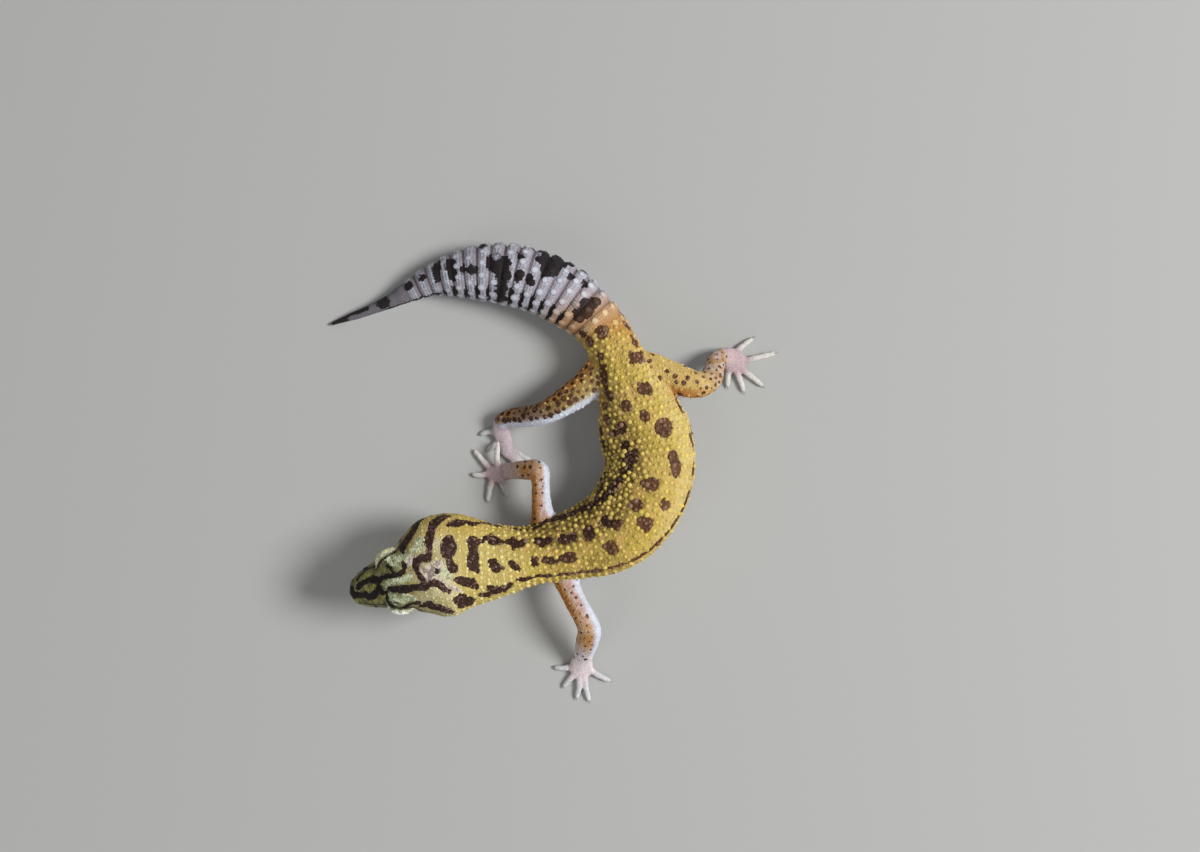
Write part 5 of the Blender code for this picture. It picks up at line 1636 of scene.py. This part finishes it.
# A thin dished drum at the bottom of each ear opening
def buildEardrum(name, side, surface, material):
    along, up = face["ear"]
    left = np.append(spineLeft(along), 0.0) * side
    ahead = -unit(np.append(spineBack(along), 0.0)) * eardrum["long"] * eardrum["reach"]
    over = np.array((0.0, 0.0, eardrum["tall"] * eardrum["reach"]))
    outer = onBody(np.array([along]), np.array([side * 20.0]), up)[0]
    hit = np.array(surface.bvh.ray_cast(Vector(outer * mm), Vector(-left))[0]) / mm
    rings, n = eardrum["rings"], eardrum["segments"]
    points, reaches = [], []
    for ring in range(rings + 1):
        r = ring / rings
        push = eardrum["lift"] + eardrum["dish"] * (r * r - 1.0)
        for k in range(n):
            turn = 2.0 * math.pi * k / n
            points.append(hit + left * push + ahead * r * math.cos(turn) + over * r * math.sin(turn))
            reaches.append(r)
    faces = [(ring * n + k, (ring + 1) * n + k, (ring + 1) * n + (k + 1) % n, ring * n + (k + 1) % n)
             for ring in range(rings) for k in range(n)]
    thing = meshObject(name, np.array(points) * mm, faces)
    setAttribute(thing.data, "reach", reaches)
    editMesh(thing.data, lambda shape: bmesh.ops.remove_doubles(shape, verts=shape.verts, dist=1e-7))
    thicken = thing.modifiers.new("thickness", "SOLIDIFY")
    thicken.thickness = eardrum["thick"]
    thicken.offset = 0.0
    applyModifiers(thing)
    finishPiece(thing, material)
    return thing


claw = {"length": 0.95, "radius": 0.19, "droop": 0.34, "rise": 0.14, "sink": 0.3, "lift": 0.12,
        "armShare": 0.85, "root": (0.50, 0.42, 0.33), "tip": (0.20, 0.14, 0.10)}


def makeClawHorn():
    material, nodes, shader = newMaterial("claw horn")
    place = nodes.add("ShaderNodeTexCoord", output="Object")
    colour = nodes.blend(nodes.ramp(nodes.attribute("reach"), 0.25, 0.95), claw["root"], claw["tip"])
    streaks = nodes.cloud(place, 0.12)
    colour = nodes.blend(0.3 * nodes.ramp(streaks, 0.45, 0.7), colour, claw["tip"])
    connect(nodes, shader, Base_Color=colour, Roughness=0.3 + 0.2 * streaks,
            Normal=nodes.bumps(streaks, 0.2, 0.00002))
    return material


def clawTree():
    tree, nodes, given = newTree("claws", (("Length", "Float"), ("Radius", "Float"), ("Rise", "Float"),
                                           ("Droop", "Float"), ("Finish", "Material")))
    start = nodes.vector(X=given["Length"] * -0.3)
    middle = nodes.vector(X=given["Length"] * 0.45, Z=given["Rise"])
    end = nodes.vector(X=given["Length"], Z=given["Droop"] * -1.0)
    curve = nodes.add("GeometryNodeCurveQuadraticBezier", None,
                      {"Resolution": 12, "Start": start, "Middle": middle, "End": end})
    reach = nodes.add("GeometryNodeSplineParameter")
    curve = storeAttribute(nodes, curve, "reach", reach)
    taper = given["Radius"] * ((1.0 - reach * 0.96) ** 0.8)
    circle = nodes.add("GeometryNodeCurvePrimitiveCircle", None, {"Resolution": 10, "Radius": 1.0})
    shape = nodes.add("GeometryNodeCurveToMesh", None,
                      {"Curve": curve, "Profile Curve": circle, "Scale": taper, "Fill Caps": True})
    spin = nodes.add("FunctionNodeAxesToRotation", {"primary_axis": "X", "secondary_axis": "Z"},
                     {"Primary Axis": namedAttribute(nodes, "back", "FLOAT_VECTOR"),
                      "Secondary Axis": namedAttribute(nodes, "out", "FLOAT_VECTOR")})
    planted = nodes.add("GeometryNodeInstanceOnPoints", None,
                        {"Points": given["Geometry"], "Instance": shape, "Rotation": spin,
                         "Scale": namedAttribute(nodes, "grow")})
    finishTree(nodes, nodes.add("GeometryNodeRealizeInstances", None, {"Geometry": planted}), given["Finish"])
    return tree


# One claw on each toe, its root sunk in the tip
def buildClaws(material):
    places, directions, grow = [], [], []
    for name, limb in limbs.items():
        for tip, direction in limb["tips"]:
            aim = unit(np.array(direction) * (1.0, 1.0, 0.0) + (0.0, 0.0, -0.12))
            places.append((np.array(tip) - aim * claw["sink"] + (0.0, 0.0, claw["lift"])) * mm)
            directions.append(aim)
            grow.append(1.0 if name.startswith("leg") else claw["armShare"])
    claws = meshObject("claws", places, [])
    setAttribute(claws.data, "back", directions, "FLOAT_VECTOR")
    setAttribute(claws.data, "out", np.tile((0.0, 0.0, 1.0), (len(places), 1)), "FLOAT_VECTOR")
    setAttribute(claws.data, "grow", grow)
    sizes = {label: claw[label.lower()] * mm for label in ("Length", "Radius", "Rise", "Droop")}
    runTree(claws, clawTree(), {**sizes, "Finish": material})
    recalculate(claws.data)
    return claws


skin = buildSkin()
print("skin built", len(skin.data.vertices), "vertices")
markSkin(skin)
print("markings laid on the skin")
setPoints(skin.data, meshArrays(skin.data)[0] * mm)
finishPiece(skin, makeHide("scaly skin", 0.5, 0.0))
scaleHide = makeHide("scale skin", 0.25)
surface = Surface(skin)
beads = tailBeads(surface)
spreadGlow(surface, beads)

pieces = []
spreadTree = scaleTree("spread scales", True, 6, 4, 0.9)
# name, zone, seed, spacing, radius and height in metres, slot
for name, where, seed, spacing, radius, height, slot in (
        ("snout_scales", "onSnout", 31, 0.00047, 0.00029, 0.00013, "head_skin"),
        ("head_scales", "onHead", 32, 0.00042, 0.00026, 0.00013, "head_skin"),
        ("back_scales", "onBack", 33, 0.00050, 0.00030, 0.00014, "back_skin"),
        ("belly_scales", "onBelly", 34, 0.00058, 0.00037, 0.00011, "back_skin"),
        ("limb_scales", "onLimbs", 35, 0.00042, 0.00026, 0.00011, "limb_skin"),
        ("foot_scales", "onFeet", 36, 0.00033, 0.00021, 0.00009, "foot_skin"),
        ("sole_scales", "onSoles", 37, 0.00034, 0.00022, 0.00010, "foot_skin")):
    piece = plant(name, skin, spreadTree, Size=radius, Height=height, Lean=0.1, Shine=0.32, Uneven=0.22,
                  Spacing=spacing, Where=where, Seed=seed, Finish=scaleHide)
    pieces.append((piece, slot))
knobTree = scaleTree("tubercles", False, 8, 6, 1.25)
plateTree = scaleTree("plates", False, 8, 6, 0.65)
# name, points, tree, radius and height in metres, lean, shine, slot
for name, points, tree, size, height, lean, shine, slot in (
        ("back_tubercles", backPoints(surface), knobTree, tubercles["size"], tubercles["height"], 0.18, 1.0,
         "back_skin"),
        ("leg_tubercles", legPoints(surface), knobTree, legScales["size"], legScales["height"], 0.15, 1.0,
         "limb_skin"),
        ("tail_tubercles", beads, knobTree, tailScales["bead"], tailScales["beadHeight"], 0.35, 1.0,
         "tail_skin"),
        ("tail_plates", tailPlates(surface), plateTree, tailScales["plate"], tailScales["plateHeight"], 0.25,
         0.3, "tail_skin"),
        ("lip_plates", lipPoints(surface), plateTree, lipScales["size"], lipScales["height"], 0.0, 0.0,
         "head_skin"),
        ("lid_fringe", lidPoints(surface), knobTree, lidScales["size"], lidScales["height"], 0.3, 0.0,
         "head_skin")):
    piece = plant(name, points, tree, Size=size, Height=height, Lean=lean, Shine=shine, Uneven=0.1, Seed=41,
                  Finish=scaleHide)
    bpy.data.objects.remove(points)
    pieces.append((piece, slot))
dropHelpers(skin.data)
print("scales planted")

iris = makeIris()
membrane = makeMembrane()
eyes = [buildEyeball("eyeball_left", 1.0, iris), buildEyeball("eyeball_right", -1.0, iris)]
drums = [buildEardrum("eardrum_left", 1.0, surface, membrane),
         buildEardrum("eardrum_right", -1.0, surface, membrane)]
claws = buildClaws(makeClawHorn())
print("eyes, ears and claws built")

names = set(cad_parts)
clawNodes = sorted(name for name in names if name.startswith("claw_"))
faceNodes = {"eye_left", "eye_right", "ear_left", "ear_right"}
pieces += [(skin, "back_skin"), (eyes[0], "eye_gloss"), (eyes[1], "eye_gloss"), (drums[0], "eardrum"),
           (drums[1], "eardrum"), (claws, "claw_horn")]
for piece, slot in pieces:
    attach(piece, "root")
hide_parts(*sorted(names - set(clawNodes) - faceNodes))
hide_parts("eye_left")
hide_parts("eye_right")
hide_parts("ear_left")
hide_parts("ear_right")
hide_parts(*clawNodes)

# A plain pale floor, one large soft light and a paler one opposite
studio = {"floor": (0.50, 0.505, 0.49), "floorRoughness": 0.9, "floorSize": 4.0, "sky": 0.26,
          "main": 15.0, "mainSize": 0.5, "mainPlace": (-0.08, 0.95, 0.92), "fill": 0.8, "fillSize": 0.6,
          "fillPlace": (0.5, -0.45, 0.5), "camera": (-0.0119, 0.01025, 0.387), "lens": 50.0}


def addLight(name, place, size, power):
    lamp = bpy.data.lights.new(name, "AREA")
    lamp.shape = "DISK"
    lamp.size = size
    lamp.energy = power
    thing = bpy.data.objects.new(name, lamp)
    thing.location = place
    thing.rotation_euler = (-Vector(place)).to_track_quat("-Z", "Y").to_euler()
    bpy.context.scene.collection.objects.link(thing)


half = studio["floorSize"] / 2.0
floor = meshObject("floor", [(-half, -half, 0.0), (half, -half, 0.0), (half, half, 0.0), (-half, half, 0.0)],
                   [(0, 1, 2, 3)])
floorPaint, _, shader = newMaterial("floor paint")
shader.inputs["Base Color"].default_value = (*studio["floor"], 1.0)
shader.inputs["Roughness"].default_value = studio["floorRoughness"]
floor.data.materials.append(floorPaint)
addLight("main_light", studio["mainPlace"], studio["mainSize"], studio["main"])
addLight("fill_light", studio["fillPlace"], studio["fillSize"], studio["fill"])
scene = bpy.context.scene
scene.world = bpy.data.worlds.new("studio")
scene.world.use_nodes = True
background = scene.world.node_tree.nodes["Background"]
background.inputs["Color"].default_value = (1.0, 1.0, 1.0, 1.0)
background.inputs["Strength"].default_value = studio["sky"]
scene.view_settings.view_transform = "Standard"
lens = bpy.data.cameras.new("camera")
lens.lens = studio["lens"]
lens.clip_start = 0.01
camera = bpy.data.objects.new("camera", lens)
# straight down, with the head to the left of the frame
camera.matrix_world = Matrix(((0.0, -1.0, 0.0, studio["camera"][0]), (1.0, 0.0, 0.0, studio["camera"][1]),
                              (0.0, 0.0, 1.0, studio["camera"][2]), (0.0, 0.0, 0.0, 1.0)))
scene.collection.objects.link(camera)
scene.camera = camera

print("model finished")
